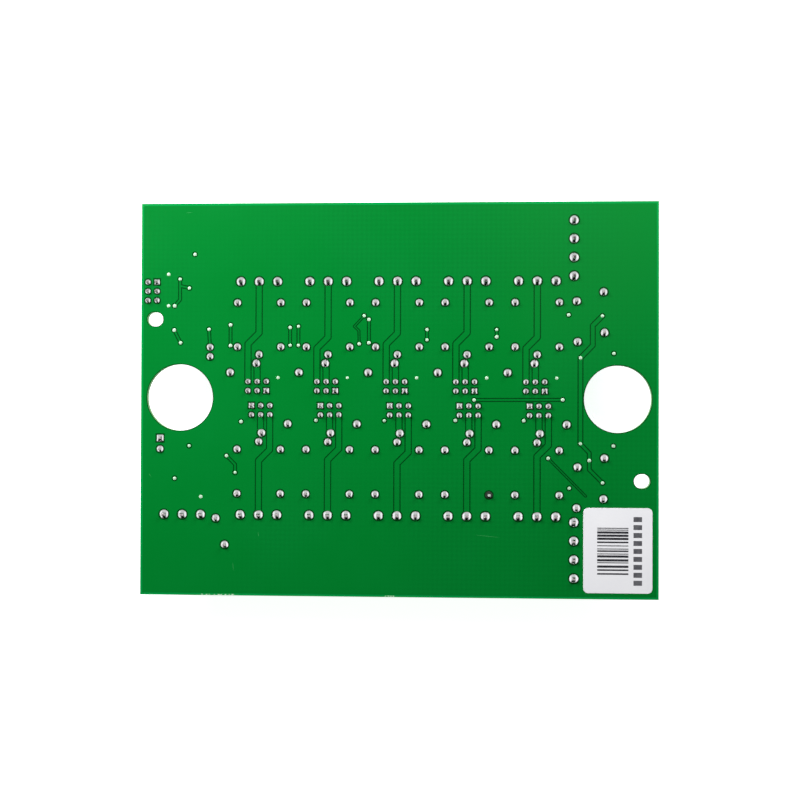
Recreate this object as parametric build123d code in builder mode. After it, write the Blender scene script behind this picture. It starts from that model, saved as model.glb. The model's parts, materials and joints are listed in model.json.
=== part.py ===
from build123d import *
import os

os.makedirs("parts", exist_ok=True)

# The card lies component side down on the tops of its relays, with its solder side up.
# The origin is on the surface under the relays, below the middle of the board.
# X runs along the board, Y across it and Z up. All sizes are in millimetres.

# Board: the columns of relays fill its middle, and a side strip lies beyond each end of them
board_width = 108.0
board_thickness = 1.6
least_side_width = 23.275
opening_radius = 9.15
slot_length = 4.4
slot_height = 3.9

# Leads through the board
lead_clearance = 0.15
lead_proud = 1.5

# Channels: two rows of columns, each row half a turn of the other
column_count = 5
column_gap = 3.55
layout_centre_y = 0.3

# Relays: three rows of leads, measured from the common lead beside the inner end of the case
relay_width = 15.5
relay_length = 19.0
relay_height = 15.3
relay_corner = 0.8
relay_top_edge = 0.5
relay_common_inset = 1.25
relay_coil_row = 2.1
relay_contact_row = 14.27
relay_lead_spread = 12.0
relay_lead = (1.0, 0.5)

# Screw terminals, measured from their row of solder pins
terminal_pitch = 5.08
output_ways = 3
bus_ways = 4
terminal_back = 2.1
terminal_front = 6.0
terminal_height = 10.0
terminal_shoulder = 5.8
terminal_slope = 1.5
terminal_back_edge = 0.7
way_wall = 1.18
mouth_roof = 4.9
mouth_lip = 0.9
lip_thickness = 1.4
chamber_back = 1.3
well_radius = 2.0
well_depth = 1.4
well_out = 1.6
well_sides = 6
clamp_clearance = 0.1
clamp_wall = 0.5
terminal_pin = (1.0, 0.8)
terminal_gap = 3.81
supply_inset = 4.02

# Pin headers and their jumper shunts
header_pitch = 2.54
header_shift = 0.5
header_base = 2.54
pin_width = 0.64
pin_above = 6.0
shunt_gap = 0.14
shunt_clearance = 0.08
shunt_roof = 0.25

# Varistors: discs on edge, with a lead from each face
varistor_diameter = 11.5
varistor_sides = 12
varistor_thickness = 4.2
varistor_standoff = 1.5
varistor_span = 7.25
varistor_offset = 2.5
varistor_lead = (0.7, 0.7)
varistor_shift = 4.375
line_varistor_pitch = 11.06
line_varistor_gaps = (0.99, 0.49)
supply_varistor_gaps = (0.84, 0.88)

# Gaps between the parts of a channel, from the middle of the board outward
header_from_middle = 0.76
header_to_varistor = 0.36
varistor_to_relay = 0.33
relay_to_terminal = 0.25

# Supply capacitor and power light
capacitor_diameter = 6.3
capacitor_height = 11.0
capacitor_edge = 0.4
capacitor_spacing = 2.6
light_diameter = 3.0
light_height = 5.0
light_edge = 0.8
light_spacing = 3.0
wire_lead = (0.55, 0.55)

# Surface mounted packages: width, length, height
chip_size = (1.25, 2.0, 0.6)
status_light_size = (1.25, 2.0, 0.8)
diode_size = (1.6, 3.6, 1.3)
driver_size = (2.4, 2.9, 1.0)
controller_size = (9.0, 9.0, 1.0)
transceiver_size = (3.9, 4.9, 1.4)
transceiver_span = 6.0
transceiver_lead_pitch = 1.27
regulator_size = (3.5, 6.5, 1.6)
regulator_span = 7.0
regulator_lead_pitch = 2.3
crystal_size = (3.2, 5.0, 1.1)
foot_thickness = 0.2
foot_width = 0.4

# Where the smaller parts of a channel stand: sideways, and outward from a neighbour's inner end
light_shift = -5.6
light_from_relay = -1.43
light_resistor_from_relay = -3.93
diode_from_relay = 5.87
driver_from_relay = 10.17
driver_resistor_from_relay = 13.57

# Label on the solder side
label_size = (18.6, 23.1)
label_corner = 1.3
label_thickness = 0.12

# What follows from these sizes
output_row = output_ways * terminal_pitch
column_pitch = max(relay_width + column_gap, output_row + terminal_gap)
supply_varistor_in = supply_inset + output_row + supply_varistor_gaps[0] + varistor_thickness / 2
supply_end = supply_varistor_in + varistor_thickness / 2 + supply_varistor_gaps[1]
side_width = max(least_side_width, supply_end - (column_pitch - output_row) / 2)
board_length = column_count * column_pitch + 2 * side_width
component_face = relay_height
solder_face = component_face + board_thickness
lead_length = board_thickness + lead_proud
upper, lower = 1, -1

header_out = header_from_middle + header_pitch
varistor_out = header_out + header_pitch + header_to_varistor + varistor_thickness / 2
relay_start = varistor_out + varistor_thickness / 2 + varistor_to_relay
relay_common_out = relay_start + relay_common_inset
terminal_row_out = relay_start + relay_length + relay_to_terminal + terminal_back


def from_left(distance, y):
    """Point at a distance from the board's left end."""
    return (distance - board_length / 2, y)


def from_right(distance, y):
    """Point at a distance from the board's right end."""
    return (board_length / 2 - distance, y)


# Places in the side strips
opening_centres = [from_left(10.9, 0.4), from_right(11.0, 0.2)]
slot_centres = [from_left(3.9, 22.0), from_right(4.5, -22.0)]
capacitor_centre = from_left(19.2, 13.0)
light_centre = from_left(5.4, -12.3)
controller_centre = from_left(13.7, 28.4)
regulator_centre = from_left(13.4, -20.5)
crystal_centre = from_left(14.7, 20.0)
transceiver_centre = from_right(7.7, 20.5)
label_centre = from_right(11.0, 13.2 - board_width / 2)
resistor_centres = [
    from_left(9.4, 36.5),
    from_left(18.4, 36.5),
    from_left(8.4, -16.5),
    from_right(11.4, 26.0),
]
chip_capacitor_centres = [
    from_left(20.5, 28.4),
    from_left(6.9, 22.6),
    from_left(18.9, -24.0),
    from_left(18.9, -17.0),
    from_right(6.9, 26.0),
]


def face_plane(x, y, out):
    """Plane on the board's underside, with its Y axis along out and its Z axis away from the board."""
    across = Vector(*out, 0).cross(Vector(0, 0, -1))
    return Plane(origin=(x, y, component_face), x_dir=across, z_dir=(0, 0, -1))


def shifted(plane, x, y):
    """The same plane with its origin moved to one of its own points."""
    return Plane(origin=plane.from_local_coords((x, y, 0)), x_dir=plane.x_dir, z_dir=plane.z_dir)


def row(count, pitch):
    """Evenly spaced positions about zero."""
    return [(i - (count - 1) / 2) * pitch for i in range(count)]


def write(piece, name):
    piece.part.label = name
    export_step(piece.part, f"parts/{name}.step")


# Places, each as a plane on the underside of the board
columns = row(column_count, column_pitch)
channels = [
    (side, face_plane(column, layout_centre_y, (0, side)))
    for side in (upper, lower)
    for column in columns
]
relay_points = [(0, relay_common_out)] + [
    (across * relay_lead_spread / 2, relay_common_out + along)
    for across in (-1, 1)
    for along in (relay_coil_row, relay_contact_row)
]
relay_middle = relay_start + relay_length / 2

output_terminals = [shifted(plane, 0, terminal_row_out) for side, plane in channels]
supply_terminal = face_plane(
    *from_left(supply_inset + output_row / 2, layout_centre_y - terminal_row_out), (0, -1)
)
bus_upper_y = board_width / 2 - 12.65
bus_lower_y = 13.15 - board_width / 2
bus_terminals = [face_plane(*from_right(22.84, y), (1, 0)) for y in (bus_upper_y, bus_lower_y)]

jumper_headers = [shifted(plane, header_shift, header_out) for side, plane in channels]
programming_header = face_plane(*from_left(3.1, 29.75), (1, 0))

varistor_points = [
    (-varistor_span / 2, varistor_offset / 2),
    (varistor_span / 2, -varistor_offset / 2),
]
output_varistors = [shifted(plane, varistor_shift, varistor_out) for side, plane in channels]
from_bus_centre = (bus_ways * terminal_pitch + varistor_thickness) / 2
upper_line_y = bus_upper_y - from_bus_centre - line_varistor_gaps[0]
lower_line_y = bus_lower_y + from_bus_centre + line_varistor_gaps[1]
line_varistors = [
    face_plane(*from_right(18.5, upper_line_y), (0, 1)),
    face_plane(*from_right(18.25, upper_line_y - line_varistor_pitch), (0, 1)),
    face_plane(*from_right(18.25, lower_line_y + line_varistor_pitch), (0, 1)),
    face_plane(*from_right(18.5, lower_line_y), (0, 1)),
    face_plane(*from_left(supply_varistor_in, -36.4), (1, 0)),
]
capacitor_plane = face_plane(*capacitor_centre, (1, 0))
light_plane = face_plane(*light_centre, (1, 0))


def header_points(columns_of_pins, rows_of_pins=2):
    return [(x, y) for x in row(columns_of_pins, header_pitch) for y in row(rows_of_pins, header_pitch)]


def pin_points(ways):
    return [(x, 0) for x in row(ways, terminal_pitch)]


# Every soldered lead: the plane that its part stands on, its points there and its section
header_pin = (pin_width, pin_width)
leads = (
    [(plane, relay_points, relay_lead) for side, plane in channels]
    + [(plane, pin_points(output_ways), terminal_pin) for plane in output_terminals]
    + [(supply_terminal, pin_points(output_ways), terminal_pin)]
    + [(plane, pin_points(bus_ways), terminal_pin) for plane in bus_terminals]
    + [(plane, header_points(3), header_pin) for plane in jumper_headers + [programming_header]]
    + [(plane, varistor_points, varistor_lead) for plane in output_varistors + line_varistors]
    + [(capacitor_plane, [(x, 0) for x in row(2, capacitor_spacing)], wire_lead)]
    + [(light_plane, [(x, 0) for x in row(2, light_spacing)], wire_lead)]
)


# Board: the lead holes follow each lead's own section
with BuildPart() as circuit_board:
    with BuildSketch(Plane.XY.offset(component_face)):
        Rectangle(board_length, board_width)
        with Locations(*opening_centres):
            Circle(opening_radius, mode=Mode.SUBTRACT)
        with Locations(*slot_centres):
            SlotOverall(slot_length, slot_height, mode=Mode.SUBTRACT)
    extrude(amount=board_thickness)
    for plane, points, (width, depth) in leads:
        with BuildSketch(plane):
            with Locations(*points):
                Rectangle(width + 2 * lead_clearance, depth + 2 * lead_clearance)
    extrude(amount=-board_thickness, mode=Mode.SUBTRACT)
write(circuit_board, "circuit_board")


def make_relay(plane):
    """Sealed relay: one case and its five blades."""
    with BuildPart() as relay:
        with BuildSketch(plane) as outline:
            with Locations((0, relay_middle)):
                Rectangle(relay_width, relay_length)
            chamfer(outline.vertices(), relay_corner)
        extrude(amount=relay_height)
        chamfer(relay.faces().sort_by(Axis.Z)[0].edges(), relay_top_edge)
        with BuildSketch(plane):
            with Locations(*relay_points):
                Rectangle(*relay_lead)
        extrude(amount=-lead_length)
    return relay


for number, (side, plane) in enumerate(channels, 1):
    write(make_relay(plane), f"relay_{number:02d}")


def side_plane(plane, x):
    """Plane square to the board through x, whose own X axis points outward and Y axis away from the board."""
    return Plane(origin=plane.from_local_coords((x, 0, 0)), x_dir=plane.y_dir, z_dir=plane.x_dir)


def front_plane(plane, out, height):
    """Plane facing outward, with its X axis along the part and Y axis away from the board."""
    origin = plane.from_local_coords((0, out, height))
    return Plane(origin=origin, x_dir=-plane.x_dir, z_dir=plane.y_dir)


mouth_width = terminal_pitch - way_wall


def make_terminal(plane, ways):
    """Terminal housing: one profile along its ways, each with a clamp chamber, wire mouth and screw well."""
    inner_lip = terminal_front - lip_thickness
    with BuildPart() as housing:
        with BuildSketch(side_plane(plane, 0)):
            with BuildLine():
                Polyline(
                    (-terminal_back, 0),
                    (terminal_front, 0),
                    (terminal_front, terminal_shoulder),
                    (terminal_front - terminal_slope, terminal_height),
                    (terminal_back_edge - terminal_back, terminal_height),
                    (-terminal_back, terminal_height - terminal_back_edge),
                    close=True,
                )
            make_face()
        extrude(amount=ways * terminal_pitch / 2, both=True)
        for x, y in pin_points(ways):
            with BuildSketch(side_plane(plane, x)):
                with BuildLine():
                    Polyline(
                        (-chamber_back, 0),
                        (inner_lip, 0),
                        (inner_lip, mouth_lip),
                        (terminal_front, mouth_lip),
                        (terminal_front, mouth_roof),
                        (-chamber_back, mouth_roof),
                        close=True,
                    )
                make_face()
        extrude(amount=mouth_width / 2, both=True, mode=Mode.SUBTRACT)
        with BuildSketch(plane.offset(terminal_height)):
            with Locations(*[(x, well_out) for x, y in pin_points(ways)]):
                RegularPolygon(well_radius, well_sides)
        extrude(amount=-well_depth, mode=Mode.SUBTRACT)
    return housing


terminals = [(plane, output_ways) for plane in output_terminals + [supply_terminal]]
terminals += [(plane, bus_ways) for plane in bus_terminals]
for number, plane in enumerate(output_terminals, 1):
    write(make_terminal(plane, output_ways), f"output_terminal_{number:02d}")
write(make_terminal(supply_terminal, output_ways), "supply_terminal")
for name, plane in zip(("upper", "lower"), bus_terminals):
    write(make_terminal(plane, bus_ways), f"bus_terminal_{name}")

# Terminal clamps: a cage with a window for the wire, on its solder pin
clamp_width = mouth_width - 2 * clamp_clearance
clamp_reach = terminal_front - lip_thickness + chamber_back - 2 * clamp_clearance
clamp_middle = (terminal_front - lip_thickness - chamber_back) / 2
clamp_height = mouth_roof - mouth_lip - clamp_clearance
window_size = (clamp_width - 2 * clamp_wall, clamp_height - 2 * clamp_wall)
with BuildPart() as terminal_clamps:
    for plane, ways in terminals:
        with BuildSketch(plane.offset(mouth_lip)):
            with Locations(*[(x, clamp_middle) for x, y in pin_points(ways)]):
                Rectangle(clamp_width, clamp_reach)
    extrude(amount=clamp_height)
    for plane, ways in terminals:
        with BuildSketch(front_plane(plane, clamp_middle, mouth_lip + clamp_height / 2)):
            with Locations(*pin_points(ways)):
                Rectangle(*window_size)
    extrude(amount=clamp_reach, both=True, mode=Mode.SUBTRACT)
    for plane, ways in terminals:
        with BuildSketch(plane.offset(mouth_lip)):
            with Locations(*pin_points(ways)):
                Rectangle(*terminal_pin)
    extrude(amount=-(mouth_lip + lead_length))
write(terminal_clamps, "terminal_clamps")


def make_header(plane, points, columns_of_pins, rows_of_pins=2):
    """Header strip: a plastic block pierced by its pins."""
    with BuildPart() as header:
        with BuildSketch(plane):
            Rectangle(columns_of_pins * header_pitch, rows_of_pins * header_pitch)
            with Locations(*points):
                Rectangle(*header_pin, mode=Mode.SUBTRACT)
        extrude(amount=header_base)
    return header


for number, plane in enumerate(jumper_headers, 1):
    write(make_header(plane, header_points(3), 3), f"jumper_header_{number:02d}")
write(make_header(programming_header, header_points(3), 3), "programming_header")

with BuildPart() as header_pins:
    for plane in jumper_headers + [programming_header]:
        with BuildSketch(plane.offset(header_base + pin_above)):
            with Locations(*header_points(3)):
                Rectangle(*header_pin)
    extrude(amount=-(header_base + pin_above + lead_length))
write(header_pins, "header_pins")

# Jumper shunts: two on each header, each over two neighbouring pins of a row
shunt_points = [(-header_pitch / 2, y) for y in row(2, header_pitch)]
shunt_size = (2 * header_pitch - shunt_gap, header_pitch - shunt_gap)
shunt_slot = (header_pitch + pin_width + 2 * shunt_clearance, pin_width + 2 * shunt_clearance)
slot_depth = pin_above + shunt_clearance
with BuildPart() as jumper_shunts:
    for plane in jumper_headers:
        with BuildSketch(plane.offset(header_base)):
            with Locations(*shunt_points):
                Rectangle(*shunt_size)
    extrude(amount=slot_depth + shunt_roof)
    for plane in jumper_headers:
        with BuildSketch(plane.offset(header_base)):
            with Locations(*shunt_points):
                Rectangle(*shunt_slot)
    extrude(amount=slot_depth, mode=Mode.SUBTRACT)
write(jumper_shunts, "jumper_shunts")


def make_varistors(planes):
    """Discs on edge, each with two leads that leave from opposite faces."""
    middle = varistor_standoff + varistor_diameter / 2
    with BuildPart() as varistors:
        for plane in planes:
            centre = plane.from_local_coords((0, -varistor_thickness / 2, middle))
            with BuildSketch(Plane(origin=centre, x_dir=plane.x_dir, z_dir=plane.y_dir)):
                RegularPolygon(varistor_diameter / 2, varistor_sides)
        extrude(amount=varistor_thickness)
        for plane in planes:
            with BuildSketch(plane.offset(middle)):
                with Locations(*varistor_points):
                    Rectangle(*varistor_lead)
        extrude(amount=-(middle + lead_length))
    return varistors


write(make_varistors(output_varistors), "output_varistors")
write(make_varistors(line_varistors), "line_varistors")


def make_round_part(plane, diameter, height, edge, spacing):
    """Upright round part with a bevelled end and two leads, such as a capacitor can or a lamp."""
    with BuildPart() as round_part:
        with BuildSketch(plane):
            Circle(diameter / 2)
        extrude(amount=height)
        chamfer(round_part.faces().sort_by(Axis.Z)[0].edges(), edge)
        with BuildSketch(plane):
            with Locations(*[(x, 0) for x in row(2, spacing)]):
                Rectangle(*wire_lead)
        extrude(amount=-lead_length)
    return round_part


capacitor = make_round_part(
    capacitor_plane, capacitor_diameter, capacitor_height, capacitor_edge, capacitor_spacing
)
write(capacitor, "supply_capacitor")
light = make_round_part(light_plane, light_diameter, light_height, light_edge, light_spacing)
write(light, "power_light")


def make_package(centre, size, span, left, right):
    """Flat package with feet: left and right give the feet's places along each long side."""
    plane = face_plane(*centre, (0, 1))
    width, length, height = size
    reach = (span - width) / 2
    with BuildPart() as package:
        with BuildSketch(plane):
            Rectangle(width, length)
        extrude(amount=height)
        for direction, places in ((-1, left), (1, right)):
            with BuildSketch(plane):
                with Locations(*[(direction * (width + reach) / 2, y) for y in places]):
                    Rectangle(reach, foot_width)
        extrude(amount=foot_thickness)
    return package


transceiver_feet = row(4, transceiver_lead_pitch)
transceiver = make_package(
    transceiver_centre, transceiver_size, transceiver_span, transceiver_feet, transceiver_feet
)
write(transceiver, "bus_transceiver")
regulator_feet = row(3, regulator_lead_pitch)
regulator = make_package(regulator_centre, regulator_size, regulator_span, regulator_feet, [0])
write(regulator, "voltage_regulator")


def make_chips(planes, size):
    """Plain chip bodies, all of one size."""
    width, length, height = size
    with BuildPart() as chips:
        for plane in planes:
            with BuildSketch(plane):
                Rectangle(width, length)
        extrude(amount=height)
    return chips


def beside_relays(from_relay):
    """Places in the gap beside each relay."""
    return [shifted(plane, side * column_pitch / 2, relay_start + from_relay) for side, plane in channels]


def before_relays(from_relay):
    """Places between each header and its relay."""
    return [shifted(plane, light_shift, relay_start + from_relay) for side, plane in channels]


loose_resistors = [face_plane(*centre, (1, 0)) for centre in resistor_centres]
loose_capacitors = [face_plane(*centre, (1, 0)) for centre in chip_capacitor_centres]
resistors = before_relays(light_resistor_from_relay) + beside_relays(driver_resistor_from_relay)
resistors += loose_resistors
write(make_chips([face_plane(*controller_centre, (0, 1))], controller_size), "controller_chip")
write(make_chips([face_plane(*crystal_centre, (1, 0))], crystal_size), "crystal")
write(make_chips(before_relays(light_from_relay), status_light_size), "status_lights")
write(make_chips(beside_relays(driver_from_relay), driver_size), "driver_transistors")
write(make_chips(beside_relays(diode_from_relay), diode_size), "clamp_diodes")
write(make_chips(resistors, chip_size), "chip_resistors")
write(make_chips(loose_capacitors, chip_size), "chip_capacitors")

with BuildPart() as label:
    with BuildSketch(Plane.XY.offset(solder_face)) as outline:
        with Locations(label_centre):
            Rectangle(*label_size)
        chamfer(outline.vertices(), label_corner)
    extrude(amount=label_thickness)
write(label, "label")
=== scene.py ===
import bpy
import bmesh
import json
import math
import random
import numpy as np
from mathutils import Matrix, Vector
from mathutils.geometry import delaunay_2d_cdt


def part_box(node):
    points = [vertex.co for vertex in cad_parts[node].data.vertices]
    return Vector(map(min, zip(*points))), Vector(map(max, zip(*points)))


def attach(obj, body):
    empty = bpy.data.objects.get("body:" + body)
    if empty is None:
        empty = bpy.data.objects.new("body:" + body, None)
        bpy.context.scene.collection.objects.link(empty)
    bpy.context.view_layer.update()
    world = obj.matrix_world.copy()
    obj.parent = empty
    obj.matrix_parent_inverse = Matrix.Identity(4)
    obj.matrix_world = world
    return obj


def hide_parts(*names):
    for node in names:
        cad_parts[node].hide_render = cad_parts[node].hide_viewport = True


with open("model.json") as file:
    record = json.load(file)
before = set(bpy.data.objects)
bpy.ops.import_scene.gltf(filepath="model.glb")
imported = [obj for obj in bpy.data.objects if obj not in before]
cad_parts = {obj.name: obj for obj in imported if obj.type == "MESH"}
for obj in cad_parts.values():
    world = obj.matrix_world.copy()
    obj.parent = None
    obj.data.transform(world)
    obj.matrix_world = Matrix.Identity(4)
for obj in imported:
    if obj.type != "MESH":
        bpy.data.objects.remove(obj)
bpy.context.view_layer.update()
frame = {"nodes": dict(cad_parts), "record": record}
mm = 0.001
random.seed(7)

# Levels and outline of the board, from the frame
boardLow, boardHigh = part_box("circuit_board")
solderFace = boardHigh.z
componentFace = boardLow.z
allNodes = frame["nodes"]
relayNodes = sorted(n for n in allNodes if n.startswith("relay_"))
outputTerminals = sorted(n for n in allNodes if n.startswith("output_terminal_"))
busTerminals = ["bus_terminal_upper", "bus_terminal_lower"]
jumperHeaders = sorted(n for n in allNodes if n.startswith("jumper_header_"))


def nodePoints(node):
    mesh = allNodes[node].data
    points = np.zeros(len(mesh.vertices) * 3)
    mesh.vertices.foreach_get("co", points)
    return points.reshape(-1, 3)


def clustersAt(node, level, reach=1.4 * mm, tolerance=1e-5):
    # middles of the separate flat ends that a node has at one height
    points = nodePoints(node)
    points = points[np.abs(points[:, 2] - level) < tolerance][:, :2]
    groups = []
    for p in points:
        for group in groups:
            if np.hypot(*(p - group[0])) < reach:
                group.append(p)
                break
        else:
            groups.append([p])
    return [tuple((np.min(g, 0) + np.max(g, 0)) / 2) for g in groups]


def leadEnds(node):
    return clustersAt(node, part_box(node)[1].z)


def addPiece(name, mesh, slotName, *replaced):
    piece = bpy.data.objects.new(name, mesh)
    bpy.context.scene.collection.objects.link(piece)
    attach(piece, "root")
    if replaced:
        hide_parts(*replaced)
    return piece


def meshFrom(name, bm, *materials, angle=38):
    mesh = bpy.data.meshes.new(name)
    bmesh.ops.recalc_face_normals(bm, faces=bm.faces)
    bm.to_mesh(mesh)
    bm.free()
    mesh.shade_smooth()
    mesh.set_sharp_from_angle(angle=math.radians(angle))
    for material in materials:
        mesh.materials.append(material)
    return mesh


def newGroup(name, inputs, outputs):
    group = bpy.data.node_groups.new(name, "ShaderNodeTree")
    for label, kind, value in inputs:
        socket = group.interface.new_socket(name=label, in_out="INPUT", socket_type=kind)
        socket.default_value = value
    for label, kind in outputs:
        group.interface.new_socket(name=label, in_out="OUTPUT", socket_type=kind)
    start = group.nodes.new("NodeGroupInput")
    end = group.nodes.new("NodeGroupOutput")
    return group, group.nodes, group.links, start, end


def mathNode(nodes, links, operation, a, b=None, clamp=False):
    node = nodes.new("ShaderNodeMath")
    node.operation = operation
    node.use_clamp = clamp
    for i, value in enumerate((a, b)):
        if value is None:
            continue
        if isinstance(value, (int, float)):
            node.inputs[i].default_value = value
        else:
            links.new(value, node.inputs[i])
    return node.outputs[0]


def rangeNode(nodes, links, value, low, high, outLow=0.0, outHigh=1.0):
    node = nodes.new("ShaderNodeMapRange")
    node.inputs["From Min"].default_value = low
    node.inputs["From Max"].default_value = high
    node.inputs["To Min"].default_value = outLow
    node.inputs["To Max"].default_value = outHigh
    links.new(value, node.inputs["Value"])
    return node.outputs["Result"]


def mixColours(nodes, links, factor, a, b):
    node = nodes.new("ShaderNodeMix")
    node.data_type = "RGBA"
    for socket, value in zip((node.inputs[0], node.inputs[6], node.inputs[7]), (factor, a, b)):
        if isinstance(value, bpy.types.NodeSocket):
            links.new(value, socket)
        else:
            socket.default_value = value
    return node.outputs[2]


def buildUnevenTone():
    group, nodes, links, start, end = newGroup(
        "unevenTone",
        [("Tone", "NodeSocketColor", (0.5, 0.5, 0.5, 1)),
         ("Second Tone", "NodeSocketColor", (0.4, 0.4, 0.4, 1)),
         ("Scale", "NodeSocketFloat", 100.0),
         ("Low", "NodeSocketFloat", 0.2),
         ("High", "NodeSocketFloat", 0.4)],
        [("Colour", "NodeSocketColor"), ("Roughness", "NodeSocketFloat"), ("Mask", "NodeSocketFloat")],
    )
    place = nodes.new("ShaderNodeTexCoord")
    noise = nodes.new("ShaderNodeTexNoise")
    noise.inputs["Detail"].default_value = 5.0
    links.new(place.outputs["Object"], noise.inputs["Vector"])
    links.new(start.outputs["Scale"], noise.inputs["Scale"])
    mask = rangeNode(nodes, links, noise.outputs["Fac"], 0.35, 0.68)
    colour = mixColours(nodes, links, mask, start.outputs["Tone"], start.outputs["Second Tone"])
    rough = nodes.new("ShaderNodeMapRange")
    links.new(mask, rough.inputs["Value"])
    links.new(start.outputs["Low"], rough.inputs["To Min"])
    links.new(start.outputs["High"], rough.inputs["To Max"])
    links.new(colour, end.inputs["Colour"])
    links.new(rough.outputs["Result"], end.inputs["Roughness"])
    links.new(mask, end.inputs["Mask"])
    return group


def buildFineGrain():
    group, nodes, links, start, end = newGroup(
        "fineGrain",
        [("Scale", "NodeSocketFloat", 4000.0), ("Coarse Scale", "NodeSocketFloat", 300.0),
         ("Coarse Share", "NodeSocketFloat", 0.5)],
        [("Height", "NodeSocketFloat")],
    )
    place = nodes.new("ShaderNodeTexCoord")
    fine = nodes.new("ShaderNodeTexNoise")
    coarse = nodes.new("ShaderNodeTexNoise")
    for noise, scale in ((fine, "Scale"), (coarse, "Coarse Scale")):
        noise.inputs["Detail"].default_value = 3.0
        links.new(place.outputs["Object"], noise.inputs["Vector"])
        links.new(start.outputs[scale], noise.inputs["Scale"])
    raised = mathNode(nodes, links, "MULTIPLY", coarse.outputs["Fac"], start.outputs["Coarse Share"])
    links.new(mathNode(nodes, links, "ADD", fine.outputs["Fac"], raised), end.inputs["Height"])
    return group


def buildGlassWeave():
    # faint crossing bands of the glass cloth in a board, in patches
    group, nodes, links, start, end = newGroup(
        "glassWeave",
        [("Tone", "NodeSocketColor", (0.5, 0.5, 0.5, 1)), ("Scale", "NodeSocketFloat", 240.0),
         ("Depth", "NodeSocketFloat", 0.06)],
        [("Colour", "NodeSocketColor"), ("Height", "NodeSocketFloat")],
    )
    place = nodes.new("ShaderNodeTexCoord")
    heights = []
    for direction in ("X", "Y"):
        bands = nodes.new("ShaderNodeTexWave")
        bands.bands_direction = direction
        bands.inputs["Distortion"].default_value = 1.2
        bands.inputs["Detail"].default_value = 1.0
        links.new(place.outputs["Object"], bands.inputs["Vector"])
        links.new(start.outputs["Scale"], bands.inputs["Scale"])
        heights.append(bands.outputs["Fac"])
    patches = nodes.new("ShaderNodeTexNoise")
    patches.inputs["Scale"].default_value = 22.0
    patches.inputs["Detail"].default_value = 2.0
    links.new(place.outputs["Object"], patches.inputs["Vector"])
    shown = rangeNode(nodes, links, patches.outputs["Fac"], 0.40, 0.62, 0.15, 1.0)
    crossed = mathNode(nodes, links, "MULTIPLY", mathNode(nodes, links, "ADD", *heights), 0.5)
    height = mathNode(nodes, links, "MULTIPLY", crossed, shown)
    darker = mixColours(nodes, links, mathNode(nodes, links, "MULTIPLY", height, start.outputs["Depth"]),
                        start.outputs["Tone"], (0.0, 0.02, 0.003, 1))
    links.new(darker, end.inputs["Colour"])
    links.new(height, end.inputs["Height"])
    return group


unevenTone = buildUnevenTone()
fineGrain = buildFineGrain()
glassWeave = buildGlassWeave()


def placeGroup(material, group, **values):
    node = material.node_tree.nodes.new("ShaderNodeGroup")
    node.node_tree = group
    for label, value in values.items():
        node.inputs[label.replace("_", " ")].default_value = value
    return node


def finish(name, tone, secondTone, scale=150.0, rough=(0.3, 0.45), metal=0.0, grain=(3000.0, 250.0, 0.5),
           bump=0.05, depth=0.05 * mm, coat=0.0, specular=0.5):
    # a painted, moulded or metal surface: uneven tone and roughness over a fine grain
    material = bpy.data.materials.new(name)
    material.use_nodes = True
    nodes, links = material.node_tree.nodes, material.node_tree.links
    shader = nodes["Principled BSDF"]
    shader.inputs["Metallic"].default_value = metal
    shader.inputs["Coat Weight"].default_value = coat
    shader.inputs["Coat Roughness"].default_value = 0.12
    shader.inputs["Specular IOR Level"].default_value = specular
    uneven = placeGroup(material, unevenTone, Tone=(*tone, 1), Second_Tone=(*secondTone, 1), Scale=scale,
                        Low=rough[0], High=rough[1])
    links.new(uneven.outputs["Colour"], shader.inputs["Base Color"])
    links.new(uneven.outputs["Roughness"], shader.inputs["Roughness"])
    surface = placeGroup(material, fineGrain, Scale=grain[0], Coarse_Scale=grain[1], Coarse_Share=grain[2])
    relief = nodes.new("ShaderNodeBump")
    relief.inputs["Strength"].default_value = bump
    relief.inputs["Distance"].default_value = depth
    links.new(surface.outputs["Height"], relief.inputs["Height"])
    links.new(relief.outputs["Normal"], shader.inputs["Normal"])
    return material


def overWeave(material, scale=240.0, depth=0.10):
    # lays the cloth of the board under a finish that lets it show
    nodes, links = material.node_tree.nodes, material.node_tree.links
    shader = nodes["Principled BSDF"]
    weave = placeGroup(material, glassWeave, Scale=scale, Depth=depth)
    links.new(shader.inputs["Base Color"].links[0].from_socket, weave.inputs["Tone"])
    links.new(weave.outputs["Colour"], shader.inputs["Base Color"])
    return material


# Linear tones of the green mask: over copper, over bare board, at the edge, and on the component side
maskTones = dict(
    copper=(0.0001, 0.159, 0.0185), copperSecond=(0.0003, 0.165, 0.0215),
    bare=(0.0003, 0.045, 0.006), bareSecond=(0.0006, 0.055, 0.008),
    margin=(0.0006, 0.230, 0.042), marginSecond=(0.001, 0.250, 0.050),
    under=(0.0003, 0.085, 0.010), underSecond=(0.0006, 0.095, 0.013),
    edge=(0.16, 0.42, 0.15), edgeSecond=(0.24, 0.46, 0.20),
)
maskFinish = dict(rough=(0.14, 0.20), grain=(9000.0, 220.0, 3.0), bump=0.06, depth=0.02 * mm, specular=0.35)
copperTones = (maskTones["copper"], maskTones["copperSecond"])
maskOverCopper = overWeave(finish("maskOverCopper", *copperTones, scale=45.0, **maskFinish))
maskOverBare = overWeave(finish("maskOverBare", maskTones["bare"], maskTones["bareSecond"], scale=60.0,
                                **maskFinish))
maskMargin = finish("maskMargin", maskTones["margin"], maskTones["marginSecond"], scale=90.0, **maskFinish)
maskComponentSide = overWeave(finish("maskComponentSide", *copperTones, scale=45.0, **maskFinish))
cutEdge = finish("cutEdge", maskTones["edge"], maskTones["edgeSecond"], scale=700.0, rough=(0.5, 0.75),
                 grain=(6000.0, 900.0, 1.5), bump=0.5, depth=0.06 * mm, specular=0.3)
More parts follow.
